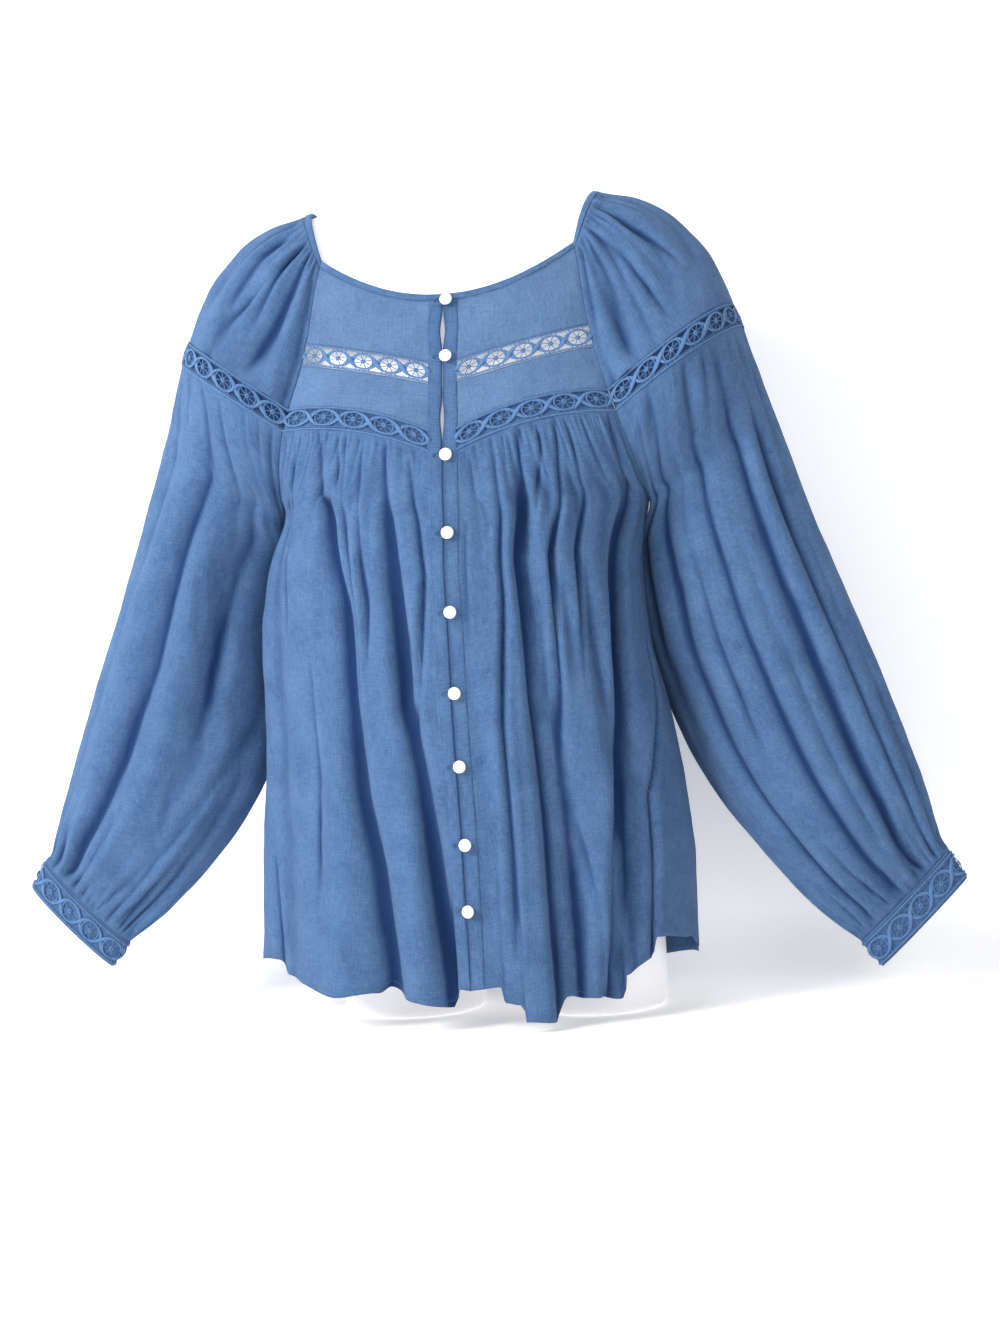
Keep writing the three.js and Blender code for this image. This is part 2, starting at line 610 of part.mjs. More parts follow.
// Closed tube through rings of corner points, with flat ends.
function tube(rings) {
  const sides = rings[0].length;
  const positions = rings.flat().flatMap((p) => [p.x, p.y, p.z]);
  const triangles = [];
  for (let r = 0; r < rings.length - 1; r += 1) {
    for (let k = 0; k < sides; k += 1) {
      const a = r * sides + k;
      const b = r * sides + (k + 1) % sides;
      triangles.push(a, b, b + sides, a, b + sides, a + sides);
    }
  }
  const end = (rings.length - 1) * sides;
  for (let k = 1; k < sides - 1; k += 1) {
    triangles.push(0, k + 1, k, end, end + k, end + k + 1);
  }
  return closedGeometry(positions, triangles);
}

function addPlackets() {
  const lift = SEAM_GAP + 0.1;
  const down = steps(0, HEM, HEM);
  for (const [name, side] of Object.entries(SIDES)) {
    const share = side > 0 ? [0, PLACKET_SHARE] : [-PLACKET_SHARE, 0];
    const surface = frontHalf(side);
    const face = down.map((d) => share.map((x) => surface(x, d)));
    add(`placket_${name}`, wall(face, normals(surface, share, down), lift, lift + TRIM), cloth);
  }
}

// ---------------------------------------------------------------- buttons and loops
// Shank button: a short stem under a shallow domed disc.
function buttonGeometry() {
  const rim = BUTTON_RADIUS;
  const stem = 1.5;
  const discFoot = 2.1;
  const top = discFoot + BUTTON_DEPTH;
  const profile = [
    [0, 0], [stem, 0], [stem, discFoot], [rim - 0.6, discFoot], [rim, discFoot + 0.7],
    [rim - 0.3, top - 0.7], [rim * 0.6, top - 0.1], [0, top],
  ].map(([r, h]) => new THREE.Vector2(r, h));
  return new THREE.LatheGeometry(profile, 14).rotateX(Math.PI / 2);
}

// Thread loop that lies flat round the button's stem.
function loopGeometry() {
  const reach = 4.2;
  const stretch = 1.9;
  const loop = new THREE.TorusGeometry(reach, LOOP_RADIUS, 6, 14);
  return loop.scale(stretch, 0.85, 1);
}

function addButtons() {
  const button = buttonGeometry();
  const loop = loopGeometry();
  const buttonPlace = 3.4;
  const loopPlace = -1;
  const loopLift = LOOP_RADIUS + 0.2;
  const seat = SEAM_GAP + 0.1 + TRIM + SEAM_GAP;
  BUTTON_ROWS.forEach((down, i) => {
    const at = (distance) => frontSurface(Math.sign(distance) * acrossAt(Math.abs(distance), down), down);
    const centre = at(PLACKET_GAP / 2).add(at(-PLACKET_GAP / 2)).multiplyScalar(0.5);
    const east = at(PLACKET_WIDTH).sub(at(-PLACKET_WIDTH)).normalize();
    const south = frontSurface(0.02, down + 0.05).sub(frontSurface(0.02, down - 0.05)).normalize();
    const out = south.clone().cross(east).normalize();
    const turn = new THREE.Matrix4().makeBasis(east, out.clone().cross(east), out);
    const stem = add(`button_${i + 1}`, button, pearl);
    stem.position.copy(centre).addScaledVector(out, seat).addScaledVector(east, buttonPlace);
    stem.quaternion.setFromRotationMatrix(turn);
    const thread = add(`loop_${i + 1}`, loop, cloth);
    thread.position.copy(centre).addScaledVector(out, seat + loopLift).addScaledVector(east, loopPlace);
    thread.quaternion.setFromRotationMatrix(turn);
  });
}

// ---------------------------------------------------------------- torso form
function leanAt(z) {
  return FORM_LEAN.shift * (1 - THREE.MathUtils.smoothstep(z, STUB.top, FORM_LEAN.top));
}

// Closed loft through level rings, with flat ends.
function loft(rings, centreX, centreY, sides = 36) {
  const outline = (r) => Array.from({ length: sides }, (_, k) => {
    const angle = k / sides * 2 * Math.PI;
    const c = Math.cos(angle);
    const s = Math.sin(angle);
    const power = 2 / r.boxy;
    const depth = s < 0 ? r.front : r.back;
    return new THREE.Vector3(
      centreX + leanAt(r.z) + r.halfWidth * Math.sign(c) * Math.abs(c) ** power,
      centreY + depth * Math.sign(s) * Math.abs(s) ** power,
      r.z,
    );
  });
  return tube(rings.map(outline));
}

function solid(geometry) {
  const bare = new THREE.BufferGeometry();
  bare.setAttribute('position', geometry.getAttribute('position'));
  bare.setIndex(geometry.getIndex());
  const merged = mergeVertices(bare, 1e-3);
  return new wasm.Manifold(new wasm.Mesh({
    numProp: 3,
    vertProperties: new Float32Array(merged.getAttribute('position').array),
    triVerts: new Uint32Array(merged.getIndex().array),
  }));
}

function addForm() {
  const { halfWidth, halfDepth, edge, top } = STUB;
  const stubRings = [
    ring(0, halfWidth - edge, halfDepth - edge, halfDepth - edge, 2),
    ring(edge * 0.3, halfWidth - edge * 0.3, halfDepth - edge * 0.3, halfDepth - edge * 0.3, 2),
    ring(edge, halfWidth, halfDepth, halfDepth, 2),
    ring(top, halfWidth, halfDepth, halfDepth, 2),
  ];
  let body = solid(loft(TORSO, 0, 0));
  for (const side of Object.values(SIDES)) {
    body = body.add(solid(loft(stubRings, side * STUB.x, STUB.y, 32)));
  }
  const mesh = body.getMesh();
  add('form_torso', closedGeometry(Array.from(mesh.vertProperties), Array.from(mesh.triVerts)), shell);
}

addForm();
addFronts();
addBack();
for (const [name, side] of Object.entries(SIDES)) {
  addSleeve(name, side);
  addCuff(name, side);
}
addPlackets();
addBinding();
addButtons();

export default blouse;
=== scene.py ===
import math

import bpy
import numpy as np
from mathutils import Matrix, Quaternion, Vector


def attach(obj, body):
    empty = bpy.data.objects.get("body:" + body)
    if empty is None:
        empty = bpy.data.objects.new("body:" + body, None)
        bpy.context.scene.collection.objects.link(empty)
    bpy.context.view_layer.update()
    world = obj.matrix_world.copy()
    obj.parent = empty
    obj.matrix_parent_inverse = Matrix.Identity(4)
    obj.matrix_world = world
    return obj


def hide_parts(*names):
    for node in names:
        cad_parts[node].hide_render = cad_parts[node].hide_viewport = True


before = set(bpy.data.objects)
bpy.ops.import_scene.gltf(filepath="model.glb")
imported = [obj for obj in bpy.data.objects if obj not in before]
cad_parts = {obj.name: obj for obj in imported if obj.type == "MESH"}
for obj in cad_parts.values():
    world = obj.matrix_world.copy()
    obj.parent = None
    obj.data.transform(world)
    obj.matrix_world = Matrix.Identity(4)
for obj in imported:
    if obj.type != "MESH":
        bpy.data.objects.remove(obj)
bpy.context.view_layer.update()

MM = 0.001

# ==================================================================================== studio
# The form stands on a pale floor that turns up into a plain wall close behind it. A large soft
# light stands high at the left of the camera, and weaker ones fill the right side and the top.
CAMERA_TARGET = Vector((0.024, 0.009, 0.312))
CAMERA_AZIMUTH = math.radians(9)
CAMERA_ROLL = math.radians(-2.5)
CAMERA_DISTANCE = 1.85
CAMERA_LENS = 54.3
WALL_Y = 0.20
COVE_RADIUS = 0.06
STAGE_FRONT = -6.0
STAGE_HALF_WIDTH = 5.0
STAGE_TOP = 4.0

camera_data = bpy.data.cameras.new("camera")
camera_data.sensor_width = 36
camera_data.lens = CAMERA_LENS
camera_data.clip_end = 60
camera = bpy.data.objects.new("camera", camera_data)
bpy.context.scene.collection.objects.link(camera)
towards_camera = Vector((math.sin(CAMERA_AZIMUTH), -math.cos(CAMERA_AZIMUTH), 0))
camera.location = CAMERA_TARGET + towards_camera * CAMERA_DISTANCE
camera.rotation_mode = "QUATERNION"
look = (-towards_camera).to_track_quat("-Z", "Y")
camera.rotation_quaternion = look @ Quaternion((0, 0, 1), CAMERA_ROLL)
bpy.context.scene.camera = camera
bpy.context.scene.view_settings.view_transform = "Standard"


def new_material(name):
    """An empty material with its node tree, its shader and its output joined."""
    material = bpy.data.materials.new(name)
    material.use_nodes = True
    nodes = material.node_tree.nodes
    nodes.clear()
    shader = nodes.new("ShaderNodeBsdfPrincipled")
    output = nodes.new("ShaderNodeOutputMaterial")
    material.node_tree.links.new(shader.outputs[0], output.inputs[0])
    return material, shader, output


def add_object(name, vertices, faces, material, smooth=True):
    """A mesh object from points in metres."""
    mesh = bpy.data.meshes.new(name)
    mesh.from_pydata(vertices, [], faces)
    mesh.materials.append(material)
    mesh.polygons.foreach_set("use_smooth", [smooth] * len(mesh.polygons))
    mesh.update()
    thing = bpy.data.objects.new(name, mesh)
    bpy.context.scene.collection.objects.link(thing)
    return thing


stage_paint, stage_shader, stage_output = new_material("stage_paint")
stage_shader.inputs["Base Color"].default_value = (0.90, 0.895, 0.90, 1)
stage_shader.inputs["Roughness"].default_value = 0.9
stage_shader.inputs["Emission Color"].default_value = (1, 1, 1, 1)
stage_shader.inputs["Emission Strength"].default_value = 0.30
stage_nodes, stage_links = stage_paint.node_tree.nodes, stage_paint.node_tree.links
plaster = stage_nodes.new("ShaderNodeTexNoise")
plaster.inputs["Scale"].default_value = 160
plaster_bump = stage_nodes.new("ShaderNodeBump")
plaster_bump.inputs["Strength"].default_value = 0.25
plaster_bump.inputs["Distance"].default_value = 0.002
behind = stage_nodes.new("ShaderNodeNewGeometry")
clear = stage_nodes.new("ShaderNodeBsdfTransparent")
one_sided = stage_nodes.new("ShaderNodeMixShader")
stage_links.new(plaster.outputs["Fac"], plaster_bump.inputs["Height"])
stage_links.new(plaster_bump.outputs[0], stage_shader.inputs["Normal"])
stage_links.new(behind.outputs["Backfacing"], one_sided.inputs["Fac"])
stage_links.new(stage_shader.outputs[0], one_sided.inputs[1])
stage_links.new(clear.outputs[0], one_sided.inputs[2])
stage_links.new(one_sided.outputs[0], stage_output.inputs[0])

stage_profile = [(STAGE_FRONT, 0.0), (WALL_Y - COVE_RADIUS, 0.0)]
for step in range(1, 13):
    turn = math.radians(90) * step / 12
    stage_y = WALL_Y - COVE_RADIUS + COVE_RADIUS * math.sin(turn)
    stage_profile.append((stage_y, COVE_RADIUS * (1 - math.cos(turn))))
stage_profile.append((WALL_Y, STAGE_TOP))
stage_points = [(x, y, z) for x in (-STAGE_HALF_WIDTH, STAGE_HALF_WIDTH) for y, z in stage_profile]
profile_size = len(stage_profile)
stage_faces = [(i, i + profile_size, i + 1 + profile_size, i + 1) for i in range(profile_size - 1)]
stage = add_object("stage", stage_points, stage_faces, stage_paint)

AREA_LIGHTS = {
    # name: place, aim, size, power
    "key": ((-1.9, -1.9, 1.6), (0.0, 0.0, 0.42), 1.3, 96),
    "fill": ((0.9, -2.6, 0.7), (0.0, 0.0, 0.4), 1.8, 20),
    "top": ((-0.3, -0.8, 2.4), (0.0, 0.0, 0.4), 1.2, 14),
}
for light_name, (place, aim, size, power) in AREA_LIGHTS.items():
    light_data = bpy.data.lights.new(light_name, "AREA")
    light_data.shape = "DISK"
    light_data.size = size
    light_data.energy = power
    light = bpy.data.objects.new(light_name, light_data)
    light.location = place
    light.rotation_mode = "QUATERNION"
    light.rotation_quaternion = (Vector(aim) - Vector(place)).to_track_quat("-Z", "Y")
    bpy.context.scene.collection.objects.link(light)
world = bpy.data.worlds.new("studio_air")
world.use_nodes = True
world.node_tree.nodes["Background"].inputs["Color"].default_value = (1, 1, 1, 1)
world.node_tree.nodes["Background"].inputs["Strength"].default_value = 0.16
bpy.context.scene.world = world

# ==================================================================================== dress form
# A limbless hanging torso form, blow moulded in one piece of white satin plastic, that stands on
# the flat ends of its two thigh stubs. Its level rings are those of the frame's own solid, drawn
# in by a small clearance. Its plastic carries a faint painted glow, stronger at the chest than lower
# down.
TORSO = [
    # z, half width, front depth, back depth, how boxy the ring is
    (88, 118, 52, 60, 2.1), (100, 148, 70, 82, 2.2), (150, 163, 78, 92, 2.2),
    (230, 150, 72, 80, 2.2), (310, 128, 70, 60, 2.2), (370, 128, 76, 60, 2.2),
    (430, 138, 90, 66, 2.2), (490, 146, 100, 74, 2.2), (550, 152, 92, 82, 2.3),
    (600, 166, 80, 86, 2.4), (640, 182, 68, 82, 2.5), (670, 190, 58, 75, 2.5),
    (695, 190, 50, 66, 2.4), (710, 181, 43, 56, 2.3), (722, 167, 37, 46, 2.2),
    (731, 150, 34, 42, 2.1), (736, 132, 34, 42, 2.0), (739, 110, 35, 43, 2.0),
    (742.5, 86, 39, 45, 2.0), (749, 66, 43, 48, 2.0), (760, 56, 46, 50, 2.0),
    (790, 52, 47, 49, 2.0), (800, 47, 43, 44, 2.0), (804, 36, 33, 34, 2.0),
]
STUB_X, STUB_Y, STUB_HALF_WIDTH, STUB_HALF_DEPTH, STUB_TOP, STUB_EDGE = 84, 4, 66, 72, 150, 5
LEAN_SHIFT, LEAN_TOP = 16, 450
FOOTPRINT_SHIFT = 9.05
FORM_CLEARANCE = 0.9
FORM_SIDES = 120
FORM_VOXEL = 5.2


def smoothstep(value, low, high):
    t = np.clip((np.asarray(value, float) - low) / (high - low), 0, 1)
    return t * t * (3 - 2 * t)


def read(values, at):
    """A column of a table at row numbers that need not be whole, along a smooth curve."""
    last = len(values) - 1
    low = np.clip(np.floor(at), 0, last - 1).astype(int)
    t = at - low
    below, start = values[np.clip(low - 1, 0, last)], values[low]
    end, beyond = values[np.clip(low + 1, 0, last)], values[np.clip(low + 2, 0, last)]
    slope_start = (end - below) / np.where(low > 0, 2, 1)
    slope_end = (beyond - start) / np.where(low + 2 <= last, 2, 1)
    square, cube = t * t, t * t * t
    return ((2 * cube - 3 * square + 1) * start + (cube - 2 * square + t) * slope_start
            + (3 * square - 2 * cube) * end + (cube - square) * slope_end)


def to_frame(points):
    """Pattern millimetres to the frame's metres."""
    return (np.asarray(points) + (0, FOOTPRINT_SHIFT, 0)) * MM


def form_loft(rings, centre_x, centre_y):
    """Points and faces of a closed loft through level rings."""
    angles = np.arange(FORM_SIDES) / FORM_SIDES * 2 * math.pi
    cosine, sine = np.cos(angles), np.sin(angles)
    points = []
    for z, half_width, front, back, boxy in rings:
        lean = LEAN_SHIFT * (1 - smoothstep(z, STUB_TOP, LEAN_TOP))
        depth = np.where(sine < 0, front, back) - FORM_CLEARANCE
        width = half_width - FORM_CLEARANCE
        x = centre_x + lean + width * np.sign(cosine) * np.abs(cosine) ** (2 / boxy)
        y = centre_y + depth * np.sign(sine) * np.abs(sine) ** (2 / boxy)
        points += list(zip(x, y, np.full(FORM_SIDES, z)))
    faces = [tuple(range(FORM_SIDES - 1, -1, -1))]
    for ring in range(len(rings) - 1):
        for k in range(FORM_SIDES):
            a, b = ring * FORM_SIDES + k, ring * FORM_SIDES + (k + 1) % FORM_SIDES
            faces.append((a, b, b + FORM_SIDES, a + FORM_SIDES))
    faces.append(tuple(range((len(rings) - 1) * FORM_SIDES, len(rings) * FORM_SIDES)))
    return points, faces


form_paint, form_shader, _ = new_material("form_plastic")
form_shader.inputs["Roughness"].default_value = 0.42
form_shader.inputs["Coat Weight"].default_value = 0.15
# Painted glow: the plastic emits light, weakly low down and more from the hips up to the chest.
form_shader.inputs["Emission Color"].default_value = (1, 0.99, 0.98, 1)
form_nodes, form_links = form_paint.node_tree.nodes, form_paint.node_tree.links
form_place = form_nodes.new("ShaderNodeTexCoord")
mottle = form_nodes.new("ShaderNodeTexNoise")
mottle.inputs["Scale"].default_value = 9
mottle.inputs["Detail"].default_value = 4
form_tone = form_nodes.new("ShaderNodeMix")
form_tone.data_type = "RGBA"
form_tone.inputs["A"].default_value = (0.93, 0.925, 0.935, 1)
form_tone.inputs["B"].default_value = (0.89, 0.885, 0.90, 1)
grain = form_nodes.new("ShaderNodeTexNoise")
grain.inputs["Scale"].default_value = 900
form_bump = form_nodes.new("ShaderNodeBump")
form_bump.inputs["Strength"].default_value = 0.12
form_bump.inputs["Distance"].default_value = 0.0004
form_level = form_nodes.new("ShaderNodeSeparateXYZ")
form_painted_glow = form_nodes.new("ShaderNodeMapRange")
form_painted_glow.interpolation_type = "SMOOTHSTEP"
form_painted_glow.inputs["From Min"].default_value = 0.25
form_painted_glow.inputs["From Max"].default_value = 0.52
form_painted_glow.inputs["To Min"].default_value = 0.16
form_painted_glow.inputs["To Max"].default_value = 0.36
form_links.new(form_place.outputs["Object"], form_level.inputs[0])
form_links.new(form_level.outputs["Z"], form_painted_glow.inputs["Value"])
form_links.new(form_painted_glow.outputs[0], form_shader.inputs["Emission Strength"])
form_links.new(form_place.outputs["Object"], mottle.inputs["Vector"])
form_links.new(form_place.outputs["Object"], grain.inputs["Vector"])
form_links.new(mottle.outputs["Fac"], form_tone.inputs["Factor"])
form_links.new(form_tone.outputs["Result"], form_shader.inputs["Base Color"])
form_links.new(grain.outputs["Fac"], form_bump.inputs["Height"])
form_links.new(form_bump.outputs[0], form_shader.inputs["Normal"])

torso_columns = [np.array(column, float) for column in zip(*TORSO)]
torso_levels = np.linspace(0, len(TORSO) - 1, 4 * (len(TORSO) - 1) + 1)
torso_rings = list(zip(*[read(column, torso_levels) for column in torso_columns]))
inner_width, inner_depth = STUB_HALF_WIDTH - STUB_EDGE, STUB_HALF_DEPTH - STUB_EDGE
stub_rings = [(0, inner_width, inner_depth, inner_depth, 2)]
for step in range(1, 7):
    turn = math.radians(90) * step / 6
    shrink = STUB_EDGE * (1 - math.sin(turn))
    stub_depth = STUB_HALF_DEPTH - shrink
    stub_level = STUB_EDGE * (1 - math.cos(turn))
    stub_rings.append((stub_level, STUB_HALF_WIDTH - shrink, stub_depth, stub_depth, 2))
stub_rings.append((STUB_TOP, STUB_HALF_WIDTH, STUB_HALF_DEPTH, STUB_HALF_DEPTH, 2))
form_points, form_faces = form_loft(torso_rings, 0, 0)
for stub_side in (-1, 1):
    stub_points, stub_faces = form_loft(stub_rings, stub_side * STUB_X, STUB_Y)
    first = len(form_points)
    form_points = form_points + stub_points
    form_faces = form_faces + [tuple(first + i for i in face) for face in stub_faces]
form = add_object("dress_form", to_frame(form_points), form_faces, form_paint)
bpy.context.view_layer.objects.active = form
fuse = form.modifiers.new("fuse", "REMESH")
fuse.mode = "VOXEL"
fuse.voxel_size = FORM_VOXEL * MM
fuse.use_smooth_shade = True
bpy.ops.object.modifier_apply(modifier="fuse")
form_coords = np.empty(len(form.data.vertices) * 3)
form.data.vertices.foreach_get("co", form_coords)
form_coords[2::3] = np.where(form_coords[2::3] < 1.6 * MM, 0, form_coords[2::3])
form.data.vertices.foreach_set("co", form_coords)
form.data.update()
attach(form, "root")
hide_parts("form_torso")

# ==================================================================================== cut of the blouse
# The pattern that every panel is made from, in millimetres: seam rows from the neck to the
# underarm, levels of the body to the hem, and stations of the sleeve to the cuff. They are
# those of the frame, but the steps of the front hem, the swell of the sleeves and their tucked
# inner edges belong to the cloth here and aren't in the frame.
BODY_COLUMNS = "cf_y cf_z rf_x rf_y rf_z out_x out_y out_z rb_x rb_y rb_z cb_y cb_z spread vee".split()
UPPER = [
    (-80, 637, 116, -54, 680, 137, 0, 738, 111, 64, 702, 85, 694, 52, -0.6),
    (-86, 617, 120, -63, 656, 168, -2, 732, 117, 73, 681, 91, 674, 56, -0.3),
    (-91, 598, 123, -69, 632, 197, -3, 717, 123, 80, 655, 95, 650, 59, 0),
    (-96, 578, 127, -74, 608, 219, -4, 695, 128, 85, 630, 98, 626, 62, 0.1),
    (-101, 558, 131, -78, 588, 233, -4, 676, 132, 87, 608, 99, 604, 64, 0.2),
    (-107, 536, 137, -82, 568, 244, -4, 651, 137, 88, 585, 99, 583, 67, 0.6),
    (-112, 514, 143, -85, 549, 252, -5, 627, 143, 88, 562, 98, 560, 70, 1),
    (-115, 494, 149, -86, 529, 260, -5, 606, 149, 86, 540, 97, 540, 72, 1),
    (-118, 470, 158, -70, 500, 272, -6, 570, 158, 70, 507, 95, 508, 77, 0.8),
    (-120, 450, 165, -40, 474, 281, -6, 542, 165, 40, 476, 93, 478, 84, 0.6),
    (-121, 434, 168, -6, 455, 288, -6, 519, 168, -6, 455, 92, 455, 90, 0.4),
]
LOWER_COLUMNS = "cf_z cf_y side_x side_z sway drift cb_y".split()
LOWER = [
    (400, -124, 172, 415, -12, -1, 93), (360, -126, 177, 370, -16, 0, 95),
    (315, -128, 181, 325, -15, 1, 98), (265, -130, 187, 275, -9, 2, 103),
    (215, -132, 192, 225, -5, 4, 108), (165, -134, 197, 175, -4, 6, 113),
    (118, -136, 200, 130, -4, 7, 117), (75, -138, 201, 88, -5, 8, 120),
    (34, -140, 202, 52, -6, 8, 122),
]
SLEEVE_COLUMNS = "out_x out_z in_x in_z depth".split()
SLEEVE = [
    (288, 519, 168, 455, 54), (303, 472, 177, 408, 52), (320, 422, 184, 362, 50),
    (339, 370, 190, 315, 48), (358, 320, 198, 268, 46), (376, 270, 211, 218, 45),
    (391, 226, 233, 170, 44), (404, 188, 264, 128, 41), (413, 160, 300, 90, 33),
    (420, 140, 340, 60, 15),
]
CUFF = [(420.2, 139.6, 340.3, 59.5, 15), (427.5, 127, 349, 48.5, 13.5), (435, 114.5, 358, 37.5, 12)]
# long folds: across at its top and at the hem, its first and last row, width, depth
FRONT_FOLDS = [
    (-0.50, -0.22, 7.4, 19.4, 0.075, -15), (-0.36, -0.33, 7.6, 14.0, 0.045, -6),
    (-0.27, -0.26, 7.4, 13.0, 0.040, -5), (-0.25, -0.04, 7.6, 19.4, 0.050, -12),
    (-0.75, -0.62, 8.5, 19.4, 0.090, -9), (-0.36, -0.36, 12.0, 19.4, 0.100, 9),
    (-0.12, -0.13, 13.0, 19.4, 0.060, 8), (0.27, 0.33, 7.4, 19.4, 0.060, -15),
    (0.37, 0.42, 7.4, 14.0, 0.040, -6), (0.50, 0.54, 7.4, 19.4, 0.055, -8),
    (0.64, 0.66, 7.6, 15.0, 0.045, -5), (0.82, 0.44, 7.8, 19.4, 0.065, -14),
    (0.10, 0.20, 12.0, 19.4, 0.085, 10), (0.45, 0.46, 13.0, 19.4, 0.070, 7),
]
BACK_FOLDS = [
    (-0.62, -0.70, 7.0, 19.4, 0.090, -11), (-0.34, -0.40, 2.0, 19.4, 0.075, -10),
    (-0.10, -0.14, 3.0, 19.4, 0.060, -9), (0.12, 0.18, 2.5, 19.4, 0.070, -12),
    (0.38, 0.46, 3.0, 19.4, 0.080, -10), (0.66, 0.74, 7.0, 19.4, 0.085, -12),
    (-0.24, -0.26, 11.0, 19.4, 0.080, 8), (0.02, 0.02, 11.0, 19.4, 0.070, 7),
    (0.28, 0.31, 11.0, 19.4, 0.080, 8),
]
SLEEVE_FOLDS = [
    (0.10, 0.12, 0, 6.0, 0.055, -6), (0.26, 0.20, 0, 6.2, 0.045, -5), (0.40, 0.34, 0, 5.0, 0.045, -5),
    (0.60, 0.66, 0, 6.0, 0.055, -6), (0.80, 0.84, 0, 6.2, 0.050, -5), (0.14, 0.22, 7.6, 19.6, 0.050, -8),
    (0.26, 0.36, 8.0, 19.6, 0.045, -7), (0.38, 0.47, 9.0, 19.6, 0.040, -6),
    (0.07, 0.12, 12.0, 19.6, 0.045, -7), (0.62, 0.58, 8.0, 19.6, 0.050, -7),
    (0.76, 0.70, 8.6, 19.6, 0.050, -8), (0.90, 0.84, 12.0, 19.6, 0.050, -7),
]
# how far each stretch of the hem hangs below the side seam's end: across, drop
FRONT_HEM = [
    (-1, -2), (-0.7, 6), (-0.65, -6), (-0.55, -10), (-0.4, -15), (-0.27, -8), (-0.24, -2), (-0.2, -10),
    (-0.055, -14), (-0.04, 2), (0.085, 3), (0.095, -11), (0.14, -14), (0.15, -29), (0.25, -33),
    (0.28, -14), (0.35, -19), (0.47, -25), (0.49, -6), (0.6, 4), (0.62, 22), (0.85, 14), (1, 2),
]
BACK_HEM = [(-1, 0), (-0.7, -14), (-0.4, -22), (-0.1, -26), (0.2, -24), (0.5, -20), (0.75, -12), (1, 0)]
SIDES = {"right": -1, "left": 1}
ARM_Y = -6
SLEEVE_TILT = 7
SLEEVE_TUCK = (14, 40)
CAP_DEPTH = 4
UNDERARM_CLEARANCE = 0.9
PLACKET_WIDTH = 13
PLACKET_GAP = 1.2
EDGE_GAP = 0.3
PLACKET_SHARE = 0.0625
HIGH_LACE = (3, 4)
LOW_LACE = (6, 7)
UNDERARM = len(UPPER) - 1
HEM = UNDERARM + len(LOWER)
CUFF_SEAM = UNDERARM + len(SLEEVE) - 1


def columns(names, rows):
    return dict(zip(names, (np.array(column, float) for column in zip(*rows))))


def body_columns():
    """The upper rows and the lower levels as one table. Below the underarm the seam is at the side."""
    upper, lower = columns(BODY_COLUMNS, UPPER), columns(LOWER_COLUMNS, LOWER)
    none, side_y = np.zeros(len(UPPER)), np.full(len(LOWER), float(ARM_Y))
    lower_as = {
        "cf_y": lower["cf_y"], "cf_z": lower["cf_z"], "cb_y": lower["cb_y"], "cb_z": lower["side_z"],
        "rf_x": lower["side_x"], "rf_y": side_y, "rf_z": lower["side_z"],
        "rb_x": lower["side_x"], "rb_y": side_y, "rb_z": lower["side_z"],
        "spread": np.full(len(LOWER), 90.0), "vee": np.zeros(len(LOWER)),
    }
    body = {name: np.concatenate([upper[name], lower_as[name]]) for name in lower_as}
    body["sway"] = np.concatenate([none, lower["sway"]])
    body["drift"] = np.concatenate([none, lower["drift"]])
    return body


body_table = body_columns()
upper_table = columns(BODY_COLUMNS, UPPER)
sleeve_table = columns(SLEEVE_COLUMNS, SLEEVE)
cuff_table = columns(SLEEVE_COLUMNS, CUFF)


def read_hem(table, across):
    """Hem drop at a place, eased between the table's points."""
    drop = np.zeros_like(across)
    for (start, low), (end, high) in zip(table[:-1], table[1:]):
        here = (across > start) & (across <= end)
        drop = np.where(here, low + (high - low) * smoothstep(across, start, end), drop)
    return drop


def fold_height(folds, across, down):
    """Sum of the long soft troughs and ridges at places on a panel."""
    height = np.zeros_like(across)
    for across_top, across_hem, down_top, down_end, width, depth in folds:
        along = (down - down_top) / (down_end - down_top)
        inside = (along > 0) & (along <= 1.2)
        middle = across_top + (across_hem - across_top) * along
        off = (across - middle) / (width * (0.55 + 0.45 * np.clip(along, 0, 1.2)))
        fade = smoothstep(along, 0, 0.25)
        if down_end <= HEM - 1:
            fade = fade * (1 - smoothstep(along, 0.7, 1))
        height += np.where(inside, depth * (0.35 + 0.65 * along) * fade * np.exp(-off * off), 0)
    return height


def body_base(face, across, down):
    """Front or back of the body: across is -1 at the right seam and 1 at the left seam."""
    side, u = np.where(across < 0, -1.0, 1.0), np.abs(across)
    front = face == "front"
    seam, centre = ("rf", "cf") if front else ("rb", "cb")
    seam_x, seam_y, seam_z = (read(body_table[f"{seam}_{axis}"], down) for axis in "xyz")
    centre_y, centre_z = read(body_table[f"{centre}_y"], down), read(body_table[f"{centre}_z"], down)
    spread = np.radians(read(body_table["spread"], down))
    sway = read(body_table["sway"], down)
    drift = read(body_table["drift"], down) if front else 0
    s = np.sin(spread * u) / np.sin(spread)
    c = (1 - np.cos(spread * u)) / (1 - np.cos(spread))
    vee = read(body_table["vee"], down) if front else np.zeros_like(across)
    curved = s ** np.where(vee < 0, 1 - vee * 1.7, 1)
    vee_share = np.clip(vee, 0, None)
    eased = -5.5 * hump(down, UNDERARM - 2.8, UNDERARM + 2.8) * 4 * s * s * (1 - s * s)
    pointed = (1 - vee_share) * s + vee_share * (1 - (1 - np.minimum(s, 1)) ** 2.2)
    level = np.where(vee < 0, curved, pointed)
    drop = read_hem(FRONT_HEM if front else BACK_HEM, across) * smoothstep(down, HEM - 4, HEM)
    return np.stack([
        side * seam_x * s + sway * s * s + drift * (1 - s * s) + eased,
        centre_y + (seam_y - centre_y) * c,
        centre_z + (seam_z - centre_z) * level + drop,
    ], -1)


